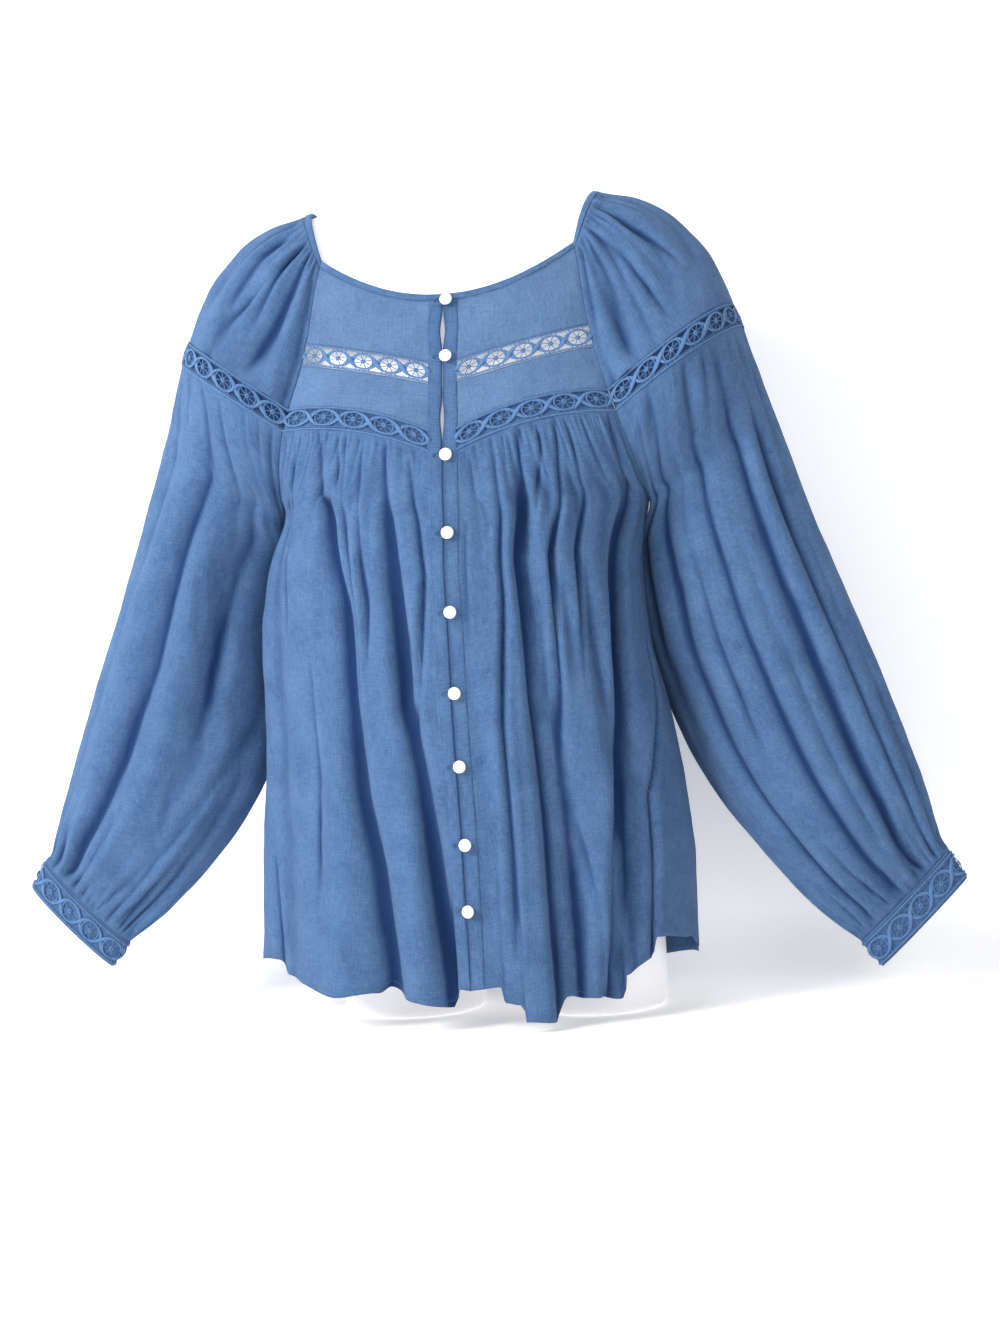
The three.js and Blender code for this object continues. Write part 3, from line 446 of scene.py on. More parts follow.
def sleeve_base(across, down):
    """A sleeve on the wearer's left: across is 0 at the front seam and 1 at the back seam."""
    front = across <= 0.5
    t = np.where(front, across, 1 - across) * 2
    upper = down <= UNDERARM
    at = down - UNDERARM

    def either(front_key, back_key, lower_values):
        above = np.where(front, read(upper_table[front_key], down), read(upper_table[back_key], down))
        return np.where(upper, above, lower_values)

    seam_x = either("rf_x", "rb_x", read(sleeve_table["in_x"], at))
    seam_y = either("rf_y", "rb_y", ARM_Y)
    seam_z = either("rf_z", "rb_z", read(sleeve_table["in_z"], at))
    outer_x = either("out_x", "out_x", read(sleeve_table["out_x"], at))
    outer_y = either("out_y", "out_y", ARM_Y)
    outer_z = either("out_z", "out_z", read(sleeve_table["out_z"], at))
    seam_x = seam_x + UNDERARM_CLEARANCE * smoothstep(down, UNDERARM - 1, UNDERARM)
    opened = 1 - smoothstep(down, LOW_LACE[0], UNDERARM)
    swell = smoothstep(down, LOW_LACE[0] - 3, UNDERARM + 2.5)
    depth = CAP_DEPTH + (read(sleeve_table["depth"], np.clip(at, 0, None)) - CAP_DEPTH) * swell
    quarter, half = t * math.pi / 2, t * math.pi
    lateral = opened * np.sin(quarter) + (1 - opened) * (1 - np.cos(half)) / 2
    inward = opened * (1 - np.cos(quarter)) + (1 - opened) * (1 - np.cos(half)) / 2
    bulge = depth * np.sin(half) * np.where(front, -1, 1)
    return np.stack([
        seam_x + (outer_x - seam_x) * lateral,
        seam_y + (outer_y - seam_y) * inward + bulge,
        seam_z + (outer_z - seam_z) * lateral,
    ], -1)


def unit(vectors):
    return vectors / np.linalg.norm(vectors, axis=-1, keepdims=True)


def facing(surface, across, down, step=0.01):
    """Outward normals of a surface."""
    east = surface(across + step, down) - surface(across - step, down)
    south = surface(across, down + step) - surface(across, down - step)
    return unit(np.cross(south, east))


def folded(base, folds, flat_at=None):
    """The base with its long folds, which die out where it is sewn to a band at row flat_at."""
    def surface(across, down):
        step = 0.004
        east = base(across + step, down) - base(across - step, down)
        south = base(across, down + step * 8) - base(across, down - step * 8)
        height = fold_height(folds, across, down)
        if flat_at is not None:
            height = height * (1 - smoothstep(down, flat_at - 0.7, flat_at))
        return base(across, down) + unit(np.cross(south, east)) * height[..., None]
    return surface


front_surface = folded(lambda across, down: body_base("front", across, down), FRONT_FOLDS)
back_surface = folded(lambda across, down: body_base("back", across, down), BACK_FOLDS)
sleeve_surface = folded(sleeve_base, SLEEVE_FOLDS, CUFF_SEAM)


def across_at(distance, down):
    """Across value of a place that many millimetres from centre front."""
    spread = np.radians(read(body_table["spread"], down))
    return np.arcsin(distance / read(body_table["rf_x"], down) * np.sin(spread)) / spread


def hump(value, low, high):
    """A smooth rise and fall between two values."""
    return np.sin(math.pi * np.clip((value - low) / (high - low), 0, 1)) ** 2


def front_half(side):
    """One front: share is 0 at its centre edge, PLACKET_SHARE at its stitch line, 1 at its seam.
    Between the upper buttons the two edges stand a little apart."""
    def surface(share, down):
        apart = 1.9 * hump(down, 0.35, 2.5) + 1.5 * hump(down, 4.4, 6.3)
        edge = across_at(EDGE_GAP / 2 + apart, down)
        stitched = across_at(PLACKET_WIDTH + apart * 0.5, down)
        size = side * share
        near = edge + (stitched - edge) * size / PLACKET_SHARE
        far = stitched + (1 - stitched) * (size - PLACKET_SHARE) / (1 - PLACKET_SHARE)
        return front_surface(side * np.where(size < PLACKET_SHARE, near, far), down)
    return surface


def sleeve_on(side, shape):
    """The sleeve of one side: mirrored for the right, swayed with the body, at its own height. Its
    inner edge is tucked in behind the side of the body below the underarm."""
    def surface(across, down):
        wrapped = across if side > 0 else 1 - across
        points = shape(wrapped, down)
        hang = smoothstep(down, CUFF_SEAM - 3, CUFF_SEAM)
        near = np.cos(2 * math.pi * (wrapped - 0.5)) * -0.5 + 0.5
        beside = 1 - smoothstep(down, UNDERARM + 4, UNDERARM + 7)
        sway = np.where(down > UNDERARM, read(body_table["sway"], down), 0)
        tucked = near ** 3 * smoothstep(down, UNDERARM, UNDERARM + 0.8)
        tucked = tucked * (1 - smoothstep(down, UNDERARM + 3.5, UNDERARM + 7))
        return np.stack([
            side * (points[..., 0] - SLEEVE_TUCK[0] * tucked) + sway * near * beside,
            points[..., 1] + SLEEVE_TUCK[1] * tucked,
            points[..., 2] - side * SLEEVE_TILT * hang,
        ], -1)
    return surface


def cuff_on(side):
    """A cuff: down is 0 at the sleeve and 2 at the wrist edge."""
    def ring(across, down):
        front = across <= 0.5
        half = np.where(front, across, 1 - across) * 2 * math.pi
        lateral = (1 - np.cos(half)) / 2
        in_x, in_z = read(cuff_table["in_x"], down), read(cuff_table["in_z"], down)
        return np.stack([
            in_x + (read(cuff_table["out_x"], down) - in_x) * lateral,
            ARM_Y + read(cuff_table["depth"], down) * np.sin(half) * np.where(front, -1, 1),
            in_z + (read(cuff_table["out_z"], down) - in_z) * lateral,
        ], -1)

    def surface(across, down):
        return sleeve_on(side, ring)(across, down) - np.array([0, 0, side * SLEEVE_TILT])
    return surface

# ==================================================================================== gauze
# Fine cotton gauze in a blue plain weave, matte and slightly heathered, with thick and thin
# threads and a soft crinkle. The shade and the weave's height come from the cloth's own UVs.
CLOTH_LIGHT = (0.098, 0.190, 0.360, 1)
CLOTH_DARK = (0.034, 0.084, 0.200, 1)
# Painted light: a paler copy of the gauze for the yokes, standing for the white form showing through them
# and the stronger light on them.
PAINTED_LIGHT_YOKE_PALE = (0.128, 0.226, 0.400, 1)
PAINTED_LIGHT_YOKE_DEEP = (0.058, 0.118, 0.245, 1)
# Painted shade: the cloth's colour is mixed toward this deep blue in the hollows of its folds.
PAINTED_SHADE_BLUE = (0.005, 0.026, 0.105, 1)
THREAD_PITCH = 0.00052


def group_socket(tree, name, way, kind, value=None):
    socket = tree.interface.new_socket(name=name, in_out=way, socket_type=kind)
    if value is not None:
        socket.default_value = value


def weave_group():
    """Thick and thin threads both ways: Shade is 0 to 1, and Height is the relief of the cloth."""
    tree = bpy.data.node_groups.new("gauze_weave", "ShaderNodeTree")
    group_socket(tree, "Place", "INPUT", "NodeSocketVector")
    group_socket(tree, "Pitch", "INPUT", "NodeSocketFloat", THREAD_PITCH)
    group_socket(tree, "Slub Length", "INPUT", "NodeSocketFloat", 0.010)
    group_socket(tree, "Shade", "OUTPUT", "NodeSocketFloat")
    group_socket(tree, "Height", "OUTPUT", "NodeSocketFloat")
    nodes, links = tree.nodes, tree.links
    entry, leave = nodes.new("NodeGroupInput"), nodes.new("NodeGroupOutput")
    parts = nodes.new("ShaderNodeSeparateXYZ")
    links.new(entry.outputs["Place"], parts.inputs[0])

    def maths(operation, a, b):
        node = nodes.new("ShaderNodeMath")
        node.operation = operation
        for socket, value in zip(node.inputs, (a, b)):
            if isinstance(value, (int, float)):
                socket.default_value = value
            else:
                links.new(value, socket)
        return node.outputs[0]

    slubs, threads = [], []
    warp, weft = parts.outputs["X"], parts.outputs["Y"]
    slub_width = maths("MULTIPLY", entry.outputs["Pitch"], 2.2)
    for along, across in ((warp, weft), (weft, warp)):
        place = nodes.new("ShaderNodeCombineXYZ")
        links.new(maths("DIVIDE", along, entry.outputs["Slub Length"]), place.inputs["X"])
        links.new(maths("DIVIDE", across, slub_width), place.inputs["Y"])
        slub = nodes.new("ShaderNodeTexNoise")
        slub.inputs["Scale"].default_value = 1
        slub.inputs["Detail"].default_value = 3
        slub.inputs["Roughness"].default_value = 0.6
        links.new(place.outputs[0], slub.inputs["Vector"])
        slubs.append(slub.outputs["Fac"])
        turn = maths("MULTIPLY", maths("DIVIDE", across, entry.outputs["Pitch"]), 2 * math.pi)
        threads.append(maths("SINE", turn, 0))
    cloudy = nodes.new("ShaderNodeTexNoise")
    cloudy.inputs["Scale"].default_value = 26
    cloudy.inputs["Detail"].default_value = 3
    links.new(entry.outputs["Place"], cloudy.inputs["Vector"])
    crossed = maths("ADD", maths("MULTIPLY", slubs[0], 0.5), maths("MULTIPLY", slubs[1], 0.5))
    faint_cloud = maths("MULTIPLY", cloudy.outputs["Fac"], 0.25)
    clouded = maths("ADD", maths("MULTIPLY", crossed, 0.75), faint_cloud)
    spread = nodes.new("ShaderNodeMapRange")
    spread.inputs["From Min"].default_value = 0.34
    spread.inputs["From Max"].default_value = 0.62
    links.new(clouded, spread.inputs["Value"])
    links.new(spread.outputs[0], leave.inputs["Shade"])
    woven = maths("MULTIPLY", maths("MULTIPLY", threads[0], threads[1]), 0.18)
    stretched = nodes.new("ShaderNodeCombineXYZ")
    links.new(maths("DIVIDE", parts.outputs["X"], 0.0034), stretched.inputs["X"])
    links.new(maths("DIVIDE", parts.outputs["Y"], 0.0120), stretched.inputs["Y"])
    puckers = nodes.new("ShaderNodeTexNoise")
    puckers.inputs["Scale"].default_value = 1
    puckers.inputs["Detail"].default_value = 2
    links.new(stretched.outputs[0], puckers.inputs["Vector"])
    washed = maths("MULTIPLY", puckers.outputs["Fac"], 1.5)
    links.new(maths("ADD", maths("ADD", crossed, woven), washed), leave.inputs["Height"])
    return tree


weave = weave_group()


def thread_material(name, light, dark, pitch=THREAD_PITCH, slub=0.010, relief=0.0006):
    """Cotton in two shades, with its weave as relief. Painted shade darkens it toward deep blue in the
    hollows of the folds and at the other places that the mesh marks.
    """
    material, shader, _ = new_material(name)
    shader.inputs["Roughness"].default_value = 0.88
    shader.inputs["Specular IOR Level"].default_value = 0.12
    shader.inputs["Sheen Weight"].default_value = 0.10
    shader.inputs["Sheen Roughness"].default_value = 0.5
    shader.inputs["Sheen Tint"].default_value = (0.62, 0.76, 1.0, 1)
    nodes, links = material.node_tree.nodes, material.node_tree.links
    where = nodes.new("ShaderNodeTexCoord")
    cloth = nodes.new("ShaderNodeGroup")
    cloth.node_tree = weave
    cloth.inputs["Pitch"].default_value = pitch
    cloth.inputs["Slub Length"].default_value = slub
    links.new(where.outputs["UV"], cloth.inputs["Place"])
    tone = nodes.new("ShaderNodeMix")
    tone.data_type = "RGBA"
    tone.inputs["A"].default_value = dark
    tone.inputs["B"].default_value = light
    links.new(cloth.outputs["Shade"], tone.inputs["Factor"])
    painted_shade = nodes.new("ShaderNodeAttribute")
    painted_shade.attribute_name = "painted_shade"
    painted_shade_mix = nodes.new("ShaderNodeMix")
    painted_shade_mix.data_type = "RGBA"
    painted_shade_mix.inputs["B"].default_value = PAINTED_SHADE_BLUE
    links.new(painted_shade.outputs["Fac"], painted_shade_mix.inputs["Factor"])
    links.new(tone.outputs["Result"], painted_shade_mix.inputs["A"])
    links.new(painted_shade_mix.outputs["Result"], shader.inputs["Base Color"])
    bump = nodes.new("ShaderNodeBump")
    bump.inputs["Strength"].default_value = 0.8
    bump.inputs["Distance"].default_value = relief
    links.new(cloth.outputs["Height"], bump.inputs["Height"])
    links.new(bump.outputs[0], shader.inputs["Normal"])
    return material


gauze = thread_material("blue_gauze", CLOTH_LIGHT, CLOTH_DARK)
painted_light_yoke_gauze = thread_material("blue_gauze_painted_light_over_form", PAINTED_LIGHT_YOKE_PALE, PAINTED_LIGHT_YOKE_DEEP)

# ==================================================================================== relief of the cloth
# Gathers are drawn up by hand on a thread, so they are uneven: each has its own place, depth,
# width and length. The loose cloth between them is slightly rumpled.
CLOTH = 0.6


def gathers(along, below, extent, spacing, depth, width, length, seed, lean=0.06):
    """Height of a row of gathers, in millimetres: along the seam and below it."""
    rng = np.random.default_rng(seed)
    height = np.zeros_like(along)
    place = extent[0] + spacing * rng.uniform(0.2, 1)
    while place < extent[1]:
        long = length * rng.uniform(0.35, 1) ** 1.6 * (1 + (rng.uniform() < 0.16))
        deep = depth * rng.uniform(0.45, 1.15)
        wide = width * rng.uniform(0.7, 1.35)
        slant = lean * rng.uniform(-1, 1)
        share = below / long
        fade = smoothstep(share, -0.02, 0.12) * (1 - np.clip(share, 0, 1)) ** 1.3
        off = (along - place - slant * below) / (wide * (1 + 1.6 * np.clip(share, 0, 1)))
        height -= deep * fade * (0.55 + 0.45 * smoothstep(below, 0, 8)) * np.exp(-np.abs(off) ** 1.6)
        place += spacing * rng.uniform(0.6, 1.4)
    return height


def creases(lines, across, down):
    """Height of creases placed one by one. Each has a depth in millimetres, a width in shares of
    the panel, and the places it runs through as row and across."""
    height = np.zeros_like(across)
    for depth, width, *places in lines:
        rows, middles = zip(*places)
        middle = np.interp(down, rows, middles)
        off = (across - middle) / width
        deepening = 0.4 + 0.6 * smoothstep(down, rows[0], rows[0] + 5)
        fade = smoothstep(down, rows[0] - 0.3, rows[0] + 0.5) * deepening
        if rows[-1] < HEM:
            fade = fade * (1 - smoothstep(down, rows[-1] - 1.8, rows[-1] + 0.3))
        trough = np.exp(-np.abs(off) ** 1.6)
        ridges = 0.22 * np.exp(-((np.abs(off) - 2.2) / 1.1) ** 2)
        height += depth * fade * (trough - ridges)
    return height


def rumple(along, below, cell_along, cell_below, seed):
    """Smooth uneven height from -1 to 1, with cells of that size in millimetres."""
    grid = np.random.default_rng(seed).uniform(-1, 1, (97, 97))
    a, b = along / cell_along + 40, below / cell_below + 40
    i, j = np.floor(a).astype(int), np.floor(b).astype(int)
    share_a, share_b = smoothstep(a - i, 0, 1), smoothstep(b - j, 0, 1)
    i, j, i_next, j_next = i % 97, j % 97, (i + 1) % 97, (j + 1) % 97
    low = grid[i, j] * (1 - share_b) + grid[i, j_next] * share_b
    high = grid[i_next, j] * (1 - share_b) + grid[i_next, j_next] * share_b
    return low * (1 - share_a) + high * share_a


def crinkle(along, below, seed, amount=1.0):
    """The soft vertical crinkle of washed gauze."""
    return amount * (
        0.75 * rumple(along, below, 13, 55, seed)
        + 0.40 * rumple(along + 0.25 * below, below, 6.5, 24, seed + 1)
        + 0.22 * rumple(along - 0.2 * below, below, 5, 8, seed + 2)
    )


def raised(surface, height):
    """A surface with finer relief added along its own normal."""
    def relief(across, down):
        return surface(across, down) + facing(surface, across, down) * height(across, down)[..., None]
    return relief


def shell_faces(rows, columns, weld_from):
    """Quads of a closed wall whose inner layer follows its outer one. From row weld_from on, the
    last column is the first one, so that the wall is a ring there."""
    index = np.arange(rows * columns).reshape(rows, columns)
    layer = rows * columns
    a, b, c, d = index[:-1, :-1], index[1:, :-1], index[1:, 1:], index[:-1, 1:]
    outer = np.stack([a, b, c, d], -1).reshape(-1, 4)
    inner = outer[:, ::-1] + layer

    def strip(line):
        start, end = line[:-1], line[1:]
        return np.stack([start, end, end + layer, start + layer], -1)

    last_open = rows if weld_from is None else weld_from + 1
    parts = [outer, inner, strip(index[0, :]), strip(index[-1, ::-1])]
    parts += [strip(index[:last_open, -1]), strip(index[:last_open, 0][::-1])]
    welded = np.arange(2 * layer)
    if weld_from is not None:
        for start in (0, layer):
            welded[start + index[weld_from:, -1]] = start + index[weld_from:, 0]
    return np.concatenate(parts), welded


def painted_hollow_shade(outer, normal, spacing):
    """How deep each point lies below the cloth beside it, from 0 to 1, over two widths: how much painted
    shade it gets.
    """
    depth = np.zeros(outer.shape[:2])
    for window, full in ((12, 2.4), (34, 6.0)):
        reach = max(int(window / spacing / 2), 1)
        padded = np.pad(outer, ((0, 0), (reach + 1, reach), (0, 0)), "reflect", reflect_type="odd")
        total = padded.cumsum(axis=1)
        level = (total[:, 2 * reach + 1:] - total[:, :-2 * reach - 1]) / (2 * reach + 1)
        depth += np.clip(np.einsum("ijk,ijk->ij", level - outer, normal) / full, -0.25, 1)
    return np.clip(depth, 0, 1) * 0.92


def cloth_piece(name, surface, across, down, material=None, thickness=CLOTH, weld_from=None, sink=None,
                painted_edge_shade=0.0):
    """One panel as a closed thin shell. Across and down list its columns and rows, and sink is how far a
    row lies under the surface; sunk rows also get painted shade. The given edge columns are darkened with
    painted shade, as in a narrow gap, and the hollows of its folds get painted shade too. Its UVs are
    metres of cloth."""
    columns_at, rows_at = np.meshgrid(across, down)
    outer = surface(columns_at, rows_at)
    normal = unit(np.cross(np.gradient(outer, axis=0), np.gradient(outer, axis=1)))
    if weld_from is not None:
        middle = (outer[weld_from:, 0] + outer[weld_from:, -1]) / 2
        outer[weld_from:, 0] = outer[weld_from:, -1] = middle
        shared = unit(normal[weld_from:, 0] + normal[weld_from:, -1])
        normal[weld_from:, 0] = normal[weld_from:, -1] = shared
    wide = np.linalg.norm(np.diff(outer, axis=1), axis=-1)
    # Painted shade: the colour darkens where a point lies below the cloth beside it.
    shaded = painted_hollow_shade(outer, normal, wide.mean())
    # Painted shade along the given edge columns.
    shaded = np.maximum(shaded, np.asarray(painted_edge_shade))
    if sink is not None:
        outer = outer - normal * np.asarray(sink)[:, None, None]
        # Rows sunk behind the lace get painted shade by how deep they lie.
        shaded = np.maximum(shaded, np.asarray(sink)[:, None] / 2.3)
    inner = outer - normal * np.broadcast_to(thickness, (len(down),))[:, None, None]
    long = np.linalg.norm(np.diff(outer, axis=0), axis=-1)
    u = np.concatenate([np.zeros((len(down), 1)), np.cumsum(wide, axis=1)], 1)
    v = np.concatenate([np.zeros((1, len(across))), np.cumsum(long, axis=0)], 0)
    u = u - u[:, [len(across) // 2]]
    uv = np.concatenate([np.stack([u, v], -1).reshape(-1, 2)] * 2) * MM
    faces, welded = shell_faces(len(down), len(across), weld_from)
    points = np.concatenate([outer.reshape(-1, 3), inner.reshape(-1, 3)])
    return piece_from(name, points, faces, welded, uv, material or gauze, np.tile(shaded.reshape(-1), 2))


def piece_from(name, points, faces, welded, uv, material, shaded):
    """A mesh object from points in millimetres, with welded points merged and faces turned outwards."""
    kept, compact = np.unique(welded[faces], return_inverse=True)
    compact = compact.reshape(faces.shape)
    points = to_frame(points[kept])
    corner = points[compact]
    volume = np.einsum("ij,ij->", corner[:, 0], np.cross(corner[:, 1], corner[:, 2]))
    volume += np.einsum("ij,ij->", corner[:, 0], np.cross(corner[:, 2], corner[:, 3]))
    if volume < 0:
        compact, faces = compact[:, ::-1], faces[:, ::-1]
    thing = add_object(name, points.tolist(), compact.tolist(), material)
    layer = thing.data.uv_layers.new(name="cloth")
    layer.data.foreach_set("uv", uv[faces.reshape(-1)].reshape(-1))
    painted_shade = thing.data.attributes.new("painted_shade", "FLOAT", "POINT")
    painted_shade.data.foreach_set("value", shaded[kept].astype(np.float32))
    return thing


def put(thing, slot, *nodes):
    """A piece rides on the object and stands for CAD nodes, which are hidden. The slot is not used."""
    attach(thing, "root")
    if nodes:
        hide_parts(*nodes)


# ==================================================================================== yokes and fronts
# Each front is a smooth yoke with two lace insertions, cut in four strips, and a long skirt panel
# gathered under the lower lace. The gathered edge runs up behind that lace.
FRONT_CREASES = {
    # side: depth, width, then the places each crease runs through as row and share
    "right": [
        (-7.5, 0.024, (7.0, 0.64), (10, 0.44), (11.8, 0.37), (15.3, 0.32), (16.5, 0.275), (19, 0.24)),
        (-3.6, 0.010, (7.2, 0.46), (11, 0.34), (12.6, 0.315), (14.4, 0.305)),
        (-3.4, 0.010, (7.5, 0.365), (11.8, 0.275), (13.6, 0.28)),
        (-6.8, 0.022, (7.0, 0.27), (11, 0.18), (13.7, 0.16), (14.7, 0.13), (16.8, 0.095), (19, 0.05)),
        (-4.2, 0.011, (7.2, 0.15), (11.2, 0.08), (13.4, 0.115), (14.6, 0.15)),
        (-5.0, 0.014, (16.4, 0.74), (17.4, 0.72), (19, 0.69)),
        (-2.4, 0.030, (16.0, 0.48), (17.8, 0.37), (19, 0.27)),
        (-3.8, 0.012, (7.4, 0.80), (10.5, 0.66), (13, 0.60)),
        (-3.6, 0.010, (7.3, 0.50), (9.4, 0.41), (10.6, 0.385)),
        (-3.2, 0.012, (12.8, 0.50), (15, 0.46), (17.4, 0.47)),
    ],
    "left": [
        (-6.6, 0.018, (7.0, 0.34), (11, 0.27), (16.5, 0.265), (19, 0.275)),
        (-4.4, 0.011, (7.6, 0.215), (11.8, 0.20), (14, 0.165), (18.4, 0.15)),
        (-3.6, 0.010, (7.2, 0.45), (9, 0.37), (10.9, 0.31)),
        (-5.4, 0.012, (7.0, 0.53), (11, 0.40), (13.3, 0.365), (14.8, 0.33)),
        (-3.4, 0.010, (7.2, 0.60), (11.8, 0.50), (13.8, 0.455)),
        (-8.4, 0.028, (7.0, 0.91), (12, 0.70), (14.2, 0.60), (16.4, 0.49), (19, 0.445)),
        (-6.0, 0.018, (12.5, 0.92), (13.7, 0.85), (15.6, 0.65), (19, 0.61)),
        (-3.2, 0.010, (9.0, 0.14), (10.9, 0.165)),
        (-2.8, 0.008, (9.8, 0.085), (13, 0.075)),
        (-4.0, 0.012, (15.8, 0.36), (17.4, 0.41), (19, 0.42)),
    ],
}
YOKE_WIDTH = 150
FRONT_SEAM_ROW = LOW_LACE[1]
BEHIND_LACE = 5.92
HEM_TURN = 8


def front_height(side, seed):
    """Gathers under the lower lace, longer soft ripples below them, the creases and the crinkle."""
    lines = FRONT_CREASES["left" if side > 0 else "right"]

    def height(share, down):
        along = side * share * YOKE_WIDTH
        below = read(body_table["cf_z"], FRONT_SEAM_ROW) - read(body_table["cf_z"], down)
        gathered = gathers(along, below, (9, 149), 4.6, 2.4, 1.2, 90, seed)
        rippled = gathers(along, below, (12, 149), 13, 2.2, 2.6, 260, seed + 20, 0.03)
        creased = creases(lines, side * share, down)
        loose = smoothstep(share * side, PLACKET_SHARE, PLACKET_SHARE * 2) * smoothstep(below, 0, 30)
        drawn = (gathered + rippled + creased) * smoothstep(below, -3, 3)
        sewn = 1 - smoothstep(share * side, 0.97, 1)
        return (drawn + crinkle(along, below, seed + 40) * loose) * sewn
    return height


def yoke_height(side, seed):
    """A yoke lies smooth, with only a faint rumple."""
    def height(share, down):
        along = side * share * YOKE_WIDTH
        below = -read(body_table["cf_z"], down)
        beside_placket = smoothstep(share * side, PLACKET_SHARE, PLACKET_SHARE * 2)
        return crinkle(along, below, seed, 0.35) * beside_placket
    return height


def ordered(side, values):
    values = np.asarray(values, float)
    return values if side > 0 else -values[::-1]


def share_columns(count):
    """Columns of a front: four across the placket's width and the rest out to the seam."""
    near = np.linspace(0, PLACKET_SHARE, 5)
    return np.concatenate([near[:-1], np.linspace(PLACKET_SHARE, 1, count)])


def hem_thickness(below):
    """Cloth thickness of each row: three layers where the hem is turned."""
    return np.where(below > HEM_TURN, CLOTH, CLOTH * 2.4)


YOKE_PARTS = {
    # piece: rows, row count, flat size in metres, share of that rectangle that is cloth
    "yoke_upper": ((0, HIGH_LACE[0]), 34, (0.135, 0.072), 0.92),
    "yoke_lower": ((HIGH_LACE[1], LOW_LACE[0]), 26, (0.150, 0.046), 0.92),
}
for side_name, side in SIDES.items():
    half = front_half(side)
    yoke_surface = raised(half, yoke_height(side, 300 + side))
    for part, (rows, count, cut, cloth_share) in YOKE_PARTS.items():
        # The yokes take the paler painted-light copy of the gauze.
        yoke = cloth_piece(f"{part}_{side_name}_cloth", yoke_surface, ordered(side, share_columns(100)),
                           np.linspace(*rows, count), material=painted_light_yoke_gauze)
        put(yoke, "cloth", f"{part}_{side_name}")

for side_name, side in SIDES.items():
    skirt = raised(front_half(side), front_height(side, 500 + side))
    front_rows = np.concatenate([np.linspace(BEHIND_LACE, 8.6, 38)[:-1], np.linspace(8.6, HEM, 110)])
    behind_lace = 0.75 * (1 - smoothstep(front_rows, 6.6, 7.02))
    row_z = read(body_table["cf_z"], front_rows)
    front = cloth_piece(f"front_{side_name}_cloth", skirt, ordered(side, share_columns(150)), front_rows,
                        thickness=hem_thickness(row_z - row_z[-1]), sink=behind_lace)
    put(front, "cloth", f"front_{side_name}")

# ==================================================================================== back
# One panel of gauze from the neck to the hem, gathered into the neck binding and sewn to the
# sleeves and the fronts. It hangs in long soft folds, and painted shade darkens its cloth near both
# sides.
BACK_WIDTH = 330


def back_height(across, down):
    along = across * BACK_WIDTH / 2
    below = read(body_table["cb_z"], 0) - read(body_table["cb_z"], down)
    gathered = gathers(along, below, (-95, 95), 6.4, 2.6, 1.7, 84, 700)
    rippled = gathers(along, below, (-150, 150), 15, 4.0, 3.6, 460, 720, 0.03)
    sewn = 1 - smoothstep(np.abs(across), 0.97, 1)
    return (gathered + rippled + crinkle(along, below, 740) * smoothstep(below, 0, 30)) * sewn


def back_from_behind(across, down):
    """Seen from behind, the wearer's right is on the right, so across runs the other way."""
    return raised(back_surface, back_height)(-across, down)


back_rows = np.concatenate([np.linspace(0, 4, 32)[:-1], np.linspace(4, HEM, 108)])
back_z = read(body_table["cb_z"], back_rows)
# Painted shade darkens the back along both its side edges.
back = cloth_piece("back_cloth", back_from_behind, np.linspace(-1, 1, 180), back_rows,
                   thickness=hem_thickness(back_z - back_z[-1]),
                   painted_edge_shade=0.45 * smoothstep(np.abs(np.linspace(-1, 1, 180)), 0.84, 0.97))
put(back, "cloth", "back")

# ==================================================================================== sleeves
# A raglan cap gathered into the neck, a lace insertion, and a full balloon sleeve drawn in by
# gathers at the cuff. The seam of the balloon runs down the inside of the arm.
SLEEVE_AROUND = 380
CAP_AROUND = 270
